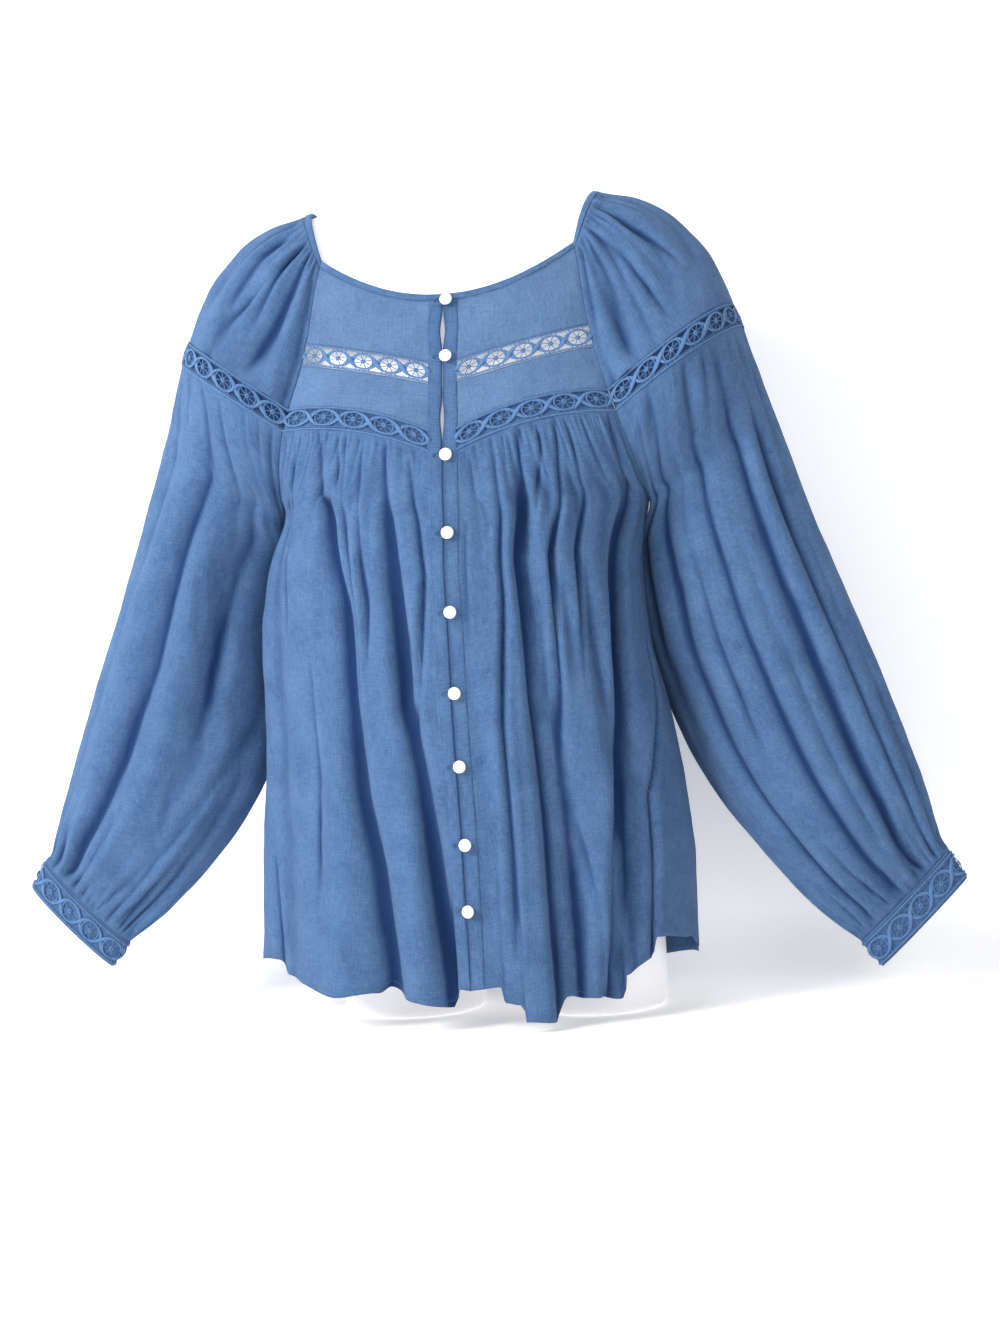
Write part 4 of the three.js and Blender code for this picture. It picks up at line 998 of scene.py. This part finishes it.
# millimetres of sleeve in one row, below the lace and above the cuff
TOP_ROW_LENGTH = 27
LOW_ROW_LENGTH = 44
CAP_CREASES = {
    "right": [
        (-4.8, 0.017, (0.2, 0.06), (3, 0.09), (5.8, 0.12)),
        (-4.2, 0.013, (0.2, 0.13), (3, 0.19), (5, 0.24)),
        (-3.0, 0.012, (0.2, 0.22), (3, 0.30)),
    ],
    "left": [
        (-5.6, 0.020, (0.2, 0.055), (3, 0.065), (6.2, 0.065)),
        (-4.8, 0.014, (0.2, 0.12), (2, 0.15), (5.5, 0.19)),
        (-3.6, 0.012, (0.2, 0.20), (2.5, 0.26), (4.5, 0.30)),
    ],
}
SLEEVE_CREASES = {
    # side: depth, width, then the places each crease runs through as row and share round the arm
    "right": [
        (-7.5, 0.020, (7.4, 0.24), (11, 0.27), (13.4, 0.282), (14.5, 0.30), (17.3, 0.33), (19, 0.335)),
        (-5.0, 0.012, (13.4, 0.262), (15.2, 0.266), (16.6, 0.285), (19, 0.30)),
        (-4.5, 0.014, (14, 0.09), (15.6, 0.144), (17, 0.167), (19, 0.17)),
        (-4.0, 0.012, (15.6, 0.378), (19, 0.39)),
        (-3.4, 0.014, (8, 0.36), (12.5, 0.385)),
        (-3.6, 0.014, (9, 0.13), (13, 0.17), (15, 0.20)),
    ],
    "left": [
        (-6.5, 0.015, (7.2, 0.10), (12, 0.14), (19, 0.14)),
        (-7.5, 0.017, (7.2, 0.20), (12, 0.235), (19, 0.24)),
        (-7.0, 0.015, (7.3, 0.30), (13, 0.325), (19, 0.33)),
        (-5.5, 0.014, (7.5, 0.37), (13, 0.385), (19, 0.39)),
        (-4.0, 0.011, (9, 0.16), (12, 0.19), (15.5, 0.19)),
        (-4.4, 0.011, (10.5, 0.27), (14, 0.285), (18.6, 0.285)),
        (-3.6, 0.011, (7.5, 0.05), (10, 0.07), (14, 0.085)),
        (-3.6, 0.011, (12, 0.355), (19, 0.362)),
    ],
    "behind": [
        (-6.0, 0.017, (7.3, 0.62), (13, 0.64), (19, 0.63)),
        (-4.2, 0.013, (9, 0.70), (14, 0.71), (17.5, 0.70)),
        (-6.5, 0.018, (7.4, 0.78), (13, 0.76), (19, 0.77)),
        (-4.6, 0.014, (7.6, 0.88), (12.5, 0.87), (19, 0.86)),
    ],
}


def between_seams(wrapped):
    """1 on the sleeve and 0 on the two seams that it is sewn to the body by."""
    return smoothstep(wrapped, 0, 0.025) * smoothstep(wrapped, 1, 0.975)


def sleeve_side(side, height):
    """Relief of a sleeve, the same way round on both sides."""
    return lambda across, down: height(across if side > 0 else 1 - across, down)


def cap_height(side_name, seed):
    """Gathers of a cap at the neck, its creases and the soft roll beside the front seam."""
    lines = CAP_CREASES[side_name]

    def height(wrapped, down):
        along = wrapped * CAP_AROUND
        below = read(upper_table["cf_z"], 0) - read(upper_table["cf_z"], down)
        gathered = gathers(along, below, (2, CAP_AROUND - 2), 8.2, 4.0, 2.0, 100, seed)
        soft = gathers(along, below, (8, CAP_AROUND - 8), 17, 5.4, 3.4, 190, seed + 20)
        roll = 3.2 * np.exp(-((wrapped - 0.050) / 0.022) ** 2)
        groove = 1.6 * np.exp(-((wrapped - 0.012) / 0.012) ** 2)
        rolled = (roll - groove) * smoothstep(below, 4, 25)
        drawn = gathered + soft + rolled + crinkle(along, below, seed + 40, 0.8)
        return (drawn + creases(lines, wrapped, down)) * between_seams(wrapped)
    return height


def sleeve_height(side_name, seed):
    """Gathers under the lace and over the cuff, and the creases from one to the other."""
    lines = SLEEVE_CREASES[side_name] + SLEEVE_CREASES["behind"]

    def height(wrapped, down):
        along = wrapped * SLEEVE_AROUND
        top = (down - LOW_LACE[1]) * TOP_ROW_LENGTH
        low = (CUFF_SEAM - down) * LOW_ROW_LENGTH
        gathered = gathers(along, top, (4, SLEEVE_AROUND - 4), 8.5, 1.5, 1.9, 90, seed)
        soft = gathers(along, top, (4, SLEEVE_AROUND - 4), 19, 2.6, 3.6, 330, seed + 20, 0.05)
        cuffed = gathers(along, low, (3, SLEEVE_AROUND - 3), 9.5, 4.6, 2.7, 130, seed + 30, 0.10)
        loose = smoothstep(top, 0, 30) * smoothstep(low, 0, 25)
        creased = creases(lines, wrapped, down) * smoothstep(low, -4, 18)
        drawn = (gathered + soft) * smoothstep(low, 0, 40) + cuffed + creased
        sewn = np.maximum(between_seams(wrapped), smoothstep(down, UNDERARM, UNDERARM + 1))
        return (drawn + crinkle(along, top, seed + 40, 1.2) * loose) * sewn
    return height


for side_name, side in SIDES.items():
    base = sleeve_on(side, sleeve_surface)
    cap_surface = raised(base, sleeve_side(side, cap_height(side_name, 900 + side)))
    cap = cloth_piece(f"sleeve_cap_{side_name}_cloth", cap_surface, np.linspace(0, 1, 164),
                      np.linspace(0, LOW_LACE[0], 46))
    put(cap, "cloth", f"sleeve_cap_{side_name}")
    open_rows = np.linspace(BEHIND_LACE, UNDERARM, 30)[:-1]
    sleeve_rows = np.concatenate([open_rows, np.linspace(UNDERARM, CUFF_SEAM, 100)])
    behind_band = 1.6 * (1 - smoothstep(sleeve_rows, 6.7, 7.05))
    balloon = raised(base, sleeve_side(side, sleeve_height(side_name, 1000 + side)))
    sleeve = cloth_piece(f"sleeve_{side_name}_cloth", balloon, np.linspace(0, 1, 180), sleeve_rows,
                         weld_from=len(open_rows), sink=behind_band)
    put(sleeve, "cloth", f"sleeve_{side_name}")
    cuff = cloth_piece(f"cuff_{side_name}_cloth", cuff_on(side), np.linspace(0, 1, 120),
                       np.linspace(-0.02, 2, 22), thickness=1.1, weld_from=0)
    put(cuff, "cloth", f"cuff_{side_name}")

# ==================================================================================== lace
# Cotton cluny lace in a band 20 mm wide: two plaits cross between flowers, and each flower is a
# ring with a knotted middle on eight spokes. Narrow footings edge it. It is let into the yokes and
# sleeves, and laid on the cuffs.
LACE_LIGHT = (0.115, 0.225, 0.430, 1)
LACE_DARK = (0.065, 0.145, 0.320, 1)
LACE_REPEAT = 26.5
LACE_HALF = 10
FLOWER_RADII = (9.0, 6.9)
CORD_SIDES = 6
lace_thread = thread_material("lace_thread", LACE_LIGHT, LACE_DARK, pitch=0.0009, slub=0.004,
                              relief=0.0009)


def tubes(centres, normals, width, height, closed=False):
    """Flat oval cords along rows of points: centres and normals are (cords, points, 3)."""
    cords, points, _ = centres.shape
    if closed:
        along = np.roll(centres, -1, axis=1) - np.roll(centres, 1, axis=1)
    else:
        along = np.gradient(centres, axis=1)
    beside = unit(np.cross(unit(along), normals))
    turn = np.arange(CORD_SIDES) / CORD_SIDES * 2 * math.pi
    half_width = np.broadcast_to(width, (points,))[None, :, None, None] / 2
    half_height = np.broadcast_to(height, (points,))[None, :, None, None] / 2
    section = (beside[:, :, None] * half_width * np.cos(turn)[None, None, :, None]
               + normals[:, :, None] * half_height * np.sin(turn)[None, None, :, None])
    ring_points = centres[:, :, None] + section
    index = np.arange(cords * points * CORD_SIDES).reshape(cords, points, CORD_SIDES)
    start, end = (index, np.roll(index, -1, axis=1)) if closed else (index[:, :-1], index[:, 1:])
    faces = np.stack([start, np.roll(start, -1, axis=2), np.roll(end, -1, axis=2), end], -1)
    faces = faces.reshape(-1, 4)
    caps = [] if closed else index[:, 0, ::-1].tolist() + index[:, -1].tolist()
    length = np.linalg.norm(np.diff(centres, axis=1), axis=-1).cumsum(axis=1)
    length = np.concatenate([np.zeros((cords, 1)), length], 1)
    u = np.broadcast_to(length[:, :, None], ring_points.shape[:3])
    v = np.broadcast_to(turn * 0.5, ring_points.shape[:3])
    return ring_points.reshape(-1, 3), faces[:, ::-1].tolist(), caps, np.stack([u, v], -1).reshape(-1, 2)


def cord_piece(name, bundles, material):
    """One object from several bundles of tubes."""
    points, faces, uvs, first = [], [], [], 0
    for bundle_points, bundle_faces, caps, uv in bundles:
        points.append(bundle_points)
        uvs.append(uv)
        faces += [[first + i for i in face] for face in bundle_faces + caps]
        first += len(bundle_points)
    thing = add_object(name, to_frame(np.concatenate(points)).tolist(), faces, material)
    layer = thing.data.uv_layers.new(name="cloth")
    uv = np.concatenate(uvs) * MM
    order = np.concatenate([np.asarray(face) for face in faces])
    layer.data.foreach_set("uv", uv[order].reshape(-1))
    return thing


def band_place(surface, across_ends, down_ends):
    """How a straight band lies on a surface: its length, and a function from places along the
    band, across it and above it to points and normals."""
    across = np.linspace(*across_ends, 240)
    middle = np.full_like(across, (down_ends[0] + down_ends[1]) / 2)
    line = surface(across, middle)
    run = np.concatenate([[0], np.linalg.norm(np.diff(line, axis=0), axis=-1).cumsum()])

    def place(along, beside, above):
        at = np.interp(along, run, across)
        down = middle[0] + beside / LACE_HALF * (down_ends[1] - down_ends[0]) / 2
        normal = facing(surface, at, down)
        return surface(at, down) + normal * above[..., None], normal
    return run[-1], place


def lace_band(name, surface, across_ends, down_ends, lift=0.3, ring=False):
    """A band of the lace on a surface, in whole repeats. A ring keeps flowers nearer its ends."""
    length, place = band_place(surface, across_ends, down_ends)
    repeats = max(round(length / LACE_REPEAT), 1)
    repeat = length / repeats
    flowers = (np.arange(-1, repeats + 1) + 0.5) * repeat
    margin = 2.0 if ring else 6.5
    flowers = flowers[(flowers > margin) & (flowers < length - margin)]
    bundles = []

    def run_cord(along, beside, above, width, height, closed=False):
        along, beside = np.broadcast_arrays(along, beside)
        above = np.broadcast_to(above, along.shape)
        centres, normals = place(np.clip(along, 0, length), beside, above + lift)
        bundles.append(tubes(centres, normals, width, height, closed))

    s = np.linspace(0, length, repeats * 22 + 1)
    x = math.pi * (s / repeat - 0.5)
    swing = 7.4 * np.cos(x) - 0.8 * np.cos(3 * x)
    crossing = np.sin(x) ** 6
    for hand in (-1, 1):
        over = hand * 0.35 * np.sin(x) * crossing
        run_cord(s[None], (hand * swing)[None], 0.5 + over[None], 1.5 + 2.6 * crossing, 0.9)
        run_cord(s[None], np.full((1, len(s)), hand * 9.2), 0.3, 1.5, 0.9)
        run_cord(s[None], np.full((1, len(s)), hand * 7.9), 0.25, 0.55, 0.6)
    turn = np.arange(20) / 20 * 2 * math.pi
    ring_s = flowers[:, None] + FLOWER_RADII[0] * np.cos(turn)
    run_cord(ring_s, FLOWER_RADII[1] * np.sin(turn)[None], 0.5, 1.35, 1.0, closed=True)
    knot_turn = np.arange(10) / 10 * 2 * math.pi
    knot_s = flowers[:, None] + 1.35 * np.cos(knot_turn)
    run_cord(knot_s, 1.25 * np.sin(knot_turn)[None], 0.65, 2.0, 1.4, closed=True)
    spoke_width = np.array([0.6, 0.75, 0.8, 0.7, 0.55])
    for spoke in range(8):
        angle = math.radians(22.5 + 45 * spoke)
        out = np.linspace(0.18, 0.97, 5)
        spoke_s = flowers[:, None] + FLOWER_RADII[0] * out * math.cos(angle)
        run_cord(spoke_s, (FLOWER_RADII[1] * out * math.sin(angle))[None], 0.45, spoke_width, 0.7)
    bars = (np.arange(0, repeats * 6) + 0.5) * repeat / 6
    open_bar = np.abs(np.sin(math.pi * (bars / repeat - 0.5))) < 0.75
    for hand in (-1, 1):
        bar_beside = hand * np.linspace(6.4, 9.1, 3)
        run_cord(bars[open_bar][:, None], bar_beside[None], 0.3, 0.9, 0.7)
    return cord_piece(name, bundles, lace_thread)


LACE_CUTS = {
    # node: flat length and width in metres, what it is sewn to
    "yoke_lace_upper": ((0.128, 0.020), "yoke_upper"),
    "yoke_lace_lower": ((0.150, 0.020), "front"),
    "sleeve_lace": ((0.290, 0.021), "sleeve_cap"),
    "cuff_lace": ((0.186, 0.022), "cuff"),
}
LACE_START = 0.055
CUFF_LACE_ROWS = (0.12, 1.88)
for side_name, side in SIDES.items():
    half, arm_surface = front_half(side), sleeve_on(side, sleeve_surface)
    yoke_ends = (side * LACE_START, side)
    high = lace_band(f"yoke_lace_upper_{side_name}_thread", half, yoke_ends, HIGH_LACE)
    low = lace_band(f"yoke_lace_lower_{side_name}_thread", half, yoke_ends, LOW_LACE, lift=0.6)
    arm = lace_band(f"sleeve_lace_{side_name}_thread", arm_surface, (0, 1), LOW_LACE, lift=0.2)
    band = lace_band(f"cuff_lace_{side_name}_thread", cuff_on(side), (0, 1), CUFF_LACE_ROWS, lift=0.9,
                     ring=True)
    for (node, (cut, sewn_to)), thing in zip(LACE_CUTS.items(), (high, low, arm, band)):
        put(thing, "lace", f"{node}_{side_name}")

# ==================================================================================== neck binding
# A bias strip of the same gauze, folded over the gathered raw edges all round the neck. It is
# open at centre front, and a row of stitches runs below it.
BINDING_WIDTH = 6.5
BINDING_DEPTH = 3.0
BINDING_ROUND = 0.45
CAD_CLOTH = 1.2
SEAM_GAP = 0.32


def neck_frames():
    """Points, up and out directions along the top edges of the five pieces round the neck."""
    edges = [
        (front_half(1), np.concatenate([[0], np.linspace(PLACKET_SHARE, 1, 40)])),
        (sleeve_on(1, sleeve_surface), np.linspace(0, 1, 70)),
        (lambda across, down: back_surface(-across, down), np.linspace(-1, 1, 80)),
        (sleeve_on(-1, sleeve_surface), np.linspace(0, 1, 70)),
        (front_half(-1), np.concatenate([np.linspace(-1, -PLACKET_SHARE, 40), [0]])),
    ]
    points, ups, outs = [], [], []
    for surface, across in edges:
        top = np.zeros_like(across)
        point = surface(across, top)
        up = unit(point - surface(across, top + 0.02))
        along = unit(surface(across + 0.01, top) - surface(across - 0.01, top))
        out = unit(np.cross(along, up))
        if points:
            ups[-1][-1] = unit(ups[-1][-1] + up[0])
            outs[-1][-1] = unit(outs[-1][-1] + out[0])
            point, up, out = point[1:], up[1:], out[1:]
        points.append(point)
        ups.append(up)
        outs.append(out)
    return np.concatenate(points), np.concatenate(ups), np.concatenate(outs)


neck_points, neck_up, neck_out = neck_frames()
neck_run = np.concatenate([[0], np.linalg.norm(np.diff(neck_points, axis=0), axis=-1).cumsum()])
binding_even = np.linspace(0, neck_run[-1], 420)
neck_points, neck_up, neck_out = (
    np.stack([np.interp(binding_even, neck_run, column[:, axis]) for axis in range(3)], -1)
    for column in (neck_points, neck_up, neck_out)
)
binding_turn = np.arange(16) / 16 * 2 * math.pi
cosine, sine = np.cos(binding_turn), np.sin(binding_turn)
profile_up = np.sign(cosine) * np.abs(cosine) ** BINDING_ROUND * BINDING_WIDTH / 2
profile_out = np.sign(sine) * np.abs(sine) ** BINDING_ROUND * BINDING_DEPTH / 2
ripple = 1 + 0.10 * rumple(binding_even, np.zeros_like(binding_even), 4.5, 9, 1400)
middle_up = SEAM_GAP + BINDING_WIDTH / 2 - 0.4
binding_rings = (neck_points[:, None]
                 + neck_up[:, None] * (middle_up + profile_up)[None, :, None]
                 + neck_out[:, None] * (profile_out[None] * ripple[:, None] - (CAD_CLOTH / 2))[..., None])
ring_count, ring_size = binding_rings.shape[:2]
ring_index = np.arange(ring_count * ring_size).reshape(ring_count, ring_size)
ring_start, ring_end = ring_index[:-1], ring_index[1:]
binding_faces = np.stack([ring_start, np.roll(ring_start, -1, 1), np.roll(ring_end, -1, 1), ring_end], -1)
binding_faces = binding_faces.reshape(-1, 4).tolist()
binding_faces += [ring_index[0, ::-1].tolist(), ring_index[-1].tolist()]
binding_points = to_frame(binding_rings.reshape(-1, 3)).tolist()
binding = add_object("neck_binding_cloth", binding_points, binding_faces, gauze)
binding_layer = binding.data.uv_layers.new(name="cloth")
binding_uv = np.stack(np.broadcast_arrays(binding_even[:, None], binding_turn[None] * 2.6), -1)
binding_uv = binding_uv.reshape(-1, 2) * MM
binding_order = np.concatenate([np.asarray(face) for face in binding_faces])
binding_layer.data.foreach_set("uv", binding_uv[binding_order].reshape(-1))
put(binding, "cloth", "neck_binding")

# ==================================================================================== plackets
# A folded band of gauze down each front edge from the binding to the hem, with a row of stitches
# along both its sides. The two bands lie side by side with a narrow gap between them.
PLACKET_LIFT = 0.42
PLACKET_THICKNESS = 0.9


def placket_height(seed):
    def height(share, down):
        below = -read(body_table["cf_z"], down)
        across_band = np.abs(share) / PLACKET_SHARE
        puff = 0.45 * np.sin(math.pi * np.clip(across_band, 0, 1)) ** 0.7
        pucker = 0.28 * rumple(across_band * 8, below, 6, 4.2, seed) * smoothstep(across_band, 0.4, 1)
        return PLACKET_LIFT + puff + pucker
    return height


for side_name, side in SIDES.items():
    placket_surface = raised(front_half(side), placket_height(1500 + side))
    placket_columns = ordered(side, np.linspace(0, PLACKET_SHARE, 14))
    # Painted shade darkens each placket along its centre edge, as in the gap between the two.
    placket = cloth_piece(f"placket_{side_name}_cloth", placket_surface, placket_columns,
                          np.linspace(0, HEM, 250), thickness=PLACKET_THICKNESS,
                          painted_edge_shade=0.85 * np.exp(-np.abs(placket_columns) / (0.10 * PLACKET_SHARE)))
    put(placket, "cloth", f"placket_{side_name}")

# ==================================================================================== stitching
# Rows of blue machine stitches: beside the plackets' edges, under the binding, round the cuffs
# and along the turned hem. Every stitch is a short thread that dips into the cloth at both ends.
STITCH_PITCH = 3.0
STITCH_LENGTH = 2.1
STITCH_WIDTH = 0.5
STITCH_LIGHT = (0.095, 0.185, 0.350, 1)
STITCH_DARK = (0.050, 0.110, 0.240, 1)
stitch_thread = thread_material("stitch_thread", STITCH_LIGHT, STITCH_DARK, pitch=0.0004, slub=0.002,
                                relief=0.0001)


def stitch_row(line, normals):
    """Bundle of stitches along a line of points that lies on the cloth."""
    run = np.concatenate([[0], np.linalg.norm(np.diff(line, axis=0), axis=-1).cumsum()])
    starts = np.arange(STITCH_PITCH / 2, run[-1] - STITCH_LENGTH, STITCH_PITCH)
    at = starts[:, None] + np.linspace(0, STITCH_LENGTH, 4)[None]
    centres = np.stack([np.interp(at, run, line[:, axis]) for axis in range(3)], -1)
    up = unit(np.stack([np.interp(at, run, normals[:, axis]) for axis in range(3)], -1))
    arch = np.array([-0.15, 0.22, 0.22, -0.15])
    return tubes(centres + up * arch[None, :, None], up, np.array([0.6, 1, 1, 0.6]) * STITCH_WIDTH, 0.4)


def row_on(surface, across, down, lift=0.0):
    """Stitches along a run of places on a surface."""
    across, down = np.broadcast_arrays(np.asarray(across, float), np.asarray(down, float))
    up = facing(surface, across, down)
    return stitch_row(surface(across, down) + up * lift, up)


for side_name, side in SIDES.items():
    half = front_half(side)
    placket_top = raised(half, placket_height(1500 + side))
    skirt = raised(half, front_height(side, 500 + side))
    down_front = np.linspace(0.15, HEM - 0.1, 420)
    hem_line = HEM - 0.13
    rows = [
        row_on(placket_top, side * PLACKET_SHARE * 0.86, down_front, 0.1),
        row_on(placket_top, side * PLACKET_SHARE * 0.13, down_front, 0.1),
        row_on(skirt, ordered(side, np.linspace(PLACKET_SHARE, 0.99, 200)), hem_line, 0.15),
        row_on(half, ordered(side, np.linspace(PLACKET_SHARE, 0.98, 120)), 0.07, 0.1),
        row_on(cuff_on(side), np.linspace(0, 1, 120), 0.06, 0.15),
        row_on(cuff_on(side), np.linspace(0, 1, 120), 1.95, 0.15),
    ]
    stitches = cord_piece(f"stitches_{side_name}", rows, stitch_thread)
    put(stitches, "cloth")
back_rows_stitched = [
    row_on(back_from_behind, np.linspace(-0.99, 0.99, 420), HEM - 0.17, 0.15),
    row_on(back_from_behind, np.linspace(-0.97, 0.97, 200), 0.10, 0.15),
]
stitches_back = cord_piece("stitches_back", back_rows_stitched, stitch_thread)
put(stitches_back, "cloth")

# ==================================================================================== buttons
# Nine pearl shank buttons of turned shell: a rounded rim round a shallow dish with a small domed
# middle. Each is sewn to the left placket by a thread stem and held by a corded thread loop.
BUTTON_ROWS = [0.06, 2.7, 6.9, 10.2, 12, 13.5, 14.75, 16.1, 17.35]
BUTTON_RADIUS = 5.6
BUTTON_DEPTH = 2.6
BUTTON_FOOT = 2.1
BUTTON_OFFSET = 3.4
BUTTON_SEAT = SEAM_GAP + 0.1 + 1.0 + SEAM_GAP
BUTTON_SIDES = 32
LOOP_REACH = 4.2
LOOP_STRETCH = 1.9
LOOP_RADIUS = 0.75
LOOP_OFFSET = -1

pearl, pearl_shader, _ = new_material("pearl_shell")
pearl_shader.inputs["Roughness"].default_value = 0.24
pearl_shader.inputs["Coat Weight"].default_value = 0.6
pearl_shader.inputs["Coat Roughness"].default_value = 0.08
pearl_nodes, pearl_links = pearl.node_tree.nodes, pearl.node_tree.links
pearl_place = pearl_nodes.new("ShaderNodeTexCoord")
nacre = pearl_nodes.new("ShaderNodeTexNoise")
nacre.inputs["Scale"].default_value = 260
nacre.inputs["Distortion"].default_value = 1.6
pearl_tone = pearl_nodes.new("ShaderNodeMix")
pearl_tone.data_type = "RGBA"
pearl_tone.inputs["A"].default_value = (0.95, 0.94, 0.91, 1)
pearl_tone.inputs["B"].default_value = (0.80, 0.80, 0.82, 1)
pearl_links.new(pearl_place.outputs["Object"], nacre.inputs["Vector"])
pearl_links.new(nacre.outputs["Fac"], pearl_tone.inputs["Factor"])
pearl_links.new(pearl_tone.outputs["Result"], pearl_shader.inputs["Base Color"])

BUTTON_TOP = BUTTON_FOOT + BUTTON_DEPTH
BUTTON_PROFILE = [
    # radius, height
    (0.0, 0.0), (1.3, 0.0), (1.3, BUTTON_FOOT), (3.9, BUTTON_FOOT), (5.1, BUTTON_FOOT + 0.35),
    (BUTTON_RADIUS, BUTTON_FOOT + 1.1), (BUTTON_RADIUS, BUTTON_TOP - 0.9), (5.25, BUTTON_TOP - 0.3),
    (4.6, BUTTON_TOP), (3.9, BUTTON_TOP - 0.15), (3.3, BUTTON_TOP - 0.75), (2.5, BUTTON_TOP - 0.85),
    (1.7, BUTTON_TOP - 0.45), (0.9, BUTTON_TOP - 0.2), (0.0, BUTTON_TOP - 0.15),
]


def button_frame(down):
    """Where a button sits at centre front: the middle, and its sideways, upward and outward axes."""
    row = np.array([down], float)

    def at(distance):
        return front_surface(np.sign(distance) * across_at(np.abs([distance]), row), row)[0]

    centre = (at(PLACKET_GAP / 2) + at(-PLACKET_GAP / 2)) / 2
    east = unit(at(PLACKET_WIDTH) - at(-PLACKET_WIDTH))
    middle = np.array([0.02])
    south = unit(front_surface(middle, row + 0.05) - front_surface(middle, row - 0.05))[0]
    out = np.cross(south, east)
    return centre, east, np.cross(out, east), out


def turned_button(centre, east, up, out):
    """Points and faces of one lathe-turned button."""
    turn = np.arange(BUTTON_SIDES) / BUTTON_SIDES * 2 * math.pi
    points, faces = [], []
    for radius, height in BUTTON_PROFILE[1:-1]:
        for angle in turn:
            spoke = east * math.cos(angle) + up * math.sin(angle)
            points.append(centre + out * height + radius * spoke)
    rings = len(BUTTON_PROFILE) - 2
    for ring in range(rings - 1):
        for k in range(BUTTON_SIDES):
            a, b = ring * BUTTON_SIDES + k, ring * BUTTON_SIDES + (k + 1) % BUTTON_SIDES
            faces.append((a, b, b + BUTTON_SIDES, a + BUTTON_SIDES))
    foot, crown = len(points), len(points) + 1
    points += [centre, centre + out * BUTTON_PROFILE[-1][1]]
    last = (rings - 1) * BUTTON_SIDES
    for k in range(BUTTON_SIDES):
        beside = (k + 1) % BUTTON_SIDES
        faces.append((foot, beside, k))
        faces.append((crown, last + k, last + beside))
    return points, faces


for number, down in enumerate(BUTTON_ROWS, 1):
    centre, east, up, out = button_frame(down)
    seat = centre + out * BUTTON_SEAT
    points, faces = turned_button(seat + east * BUTTON_OFFSET, east, up, out)
    button = add_object(f"button_{number}_pearl", to_frame(points).tolist(), faces, pearl)
    rounding = button.modifiers.new("rounding", "SUBSURF")
    rounding.levels = rounding.render_levels = 1
    put(button, "pearl", f"button_{number}")
    turn = np.arange(36) / 36 * 2 * math.pi
    loop_middle = seat + out * (LOOP_RADIUS + 0.2) + east * LOOP_OFFSET
    oval = east * LOOP_STRETCH * np.cos(turn)[:, None] + up * 0.85 * np.sin(turn)[:, None]
    loop_line = loop_middle + LOOP_REACH * oval
    plies = []
    for ply in (0, math.pi):
        twist = turn * 14 + ply
        outwards = unit(loop_line - loop_line.mean(0))
        ply_line = loop_line + 0.30 * (np.cos(twist)[:, None] * outwards + np.sin(twist)[:, None] * out)
        outward = np.broadcast_to(out, ply_line.shape)
        plies.append(tubes(ply_line[None], outward[None], 0.8, 0.8, closed=True))
    loop = cord_piece(f"loop_{number}_thread", plies, stitch_thread)
    put(loop, "cloth", f"loop_{number}")
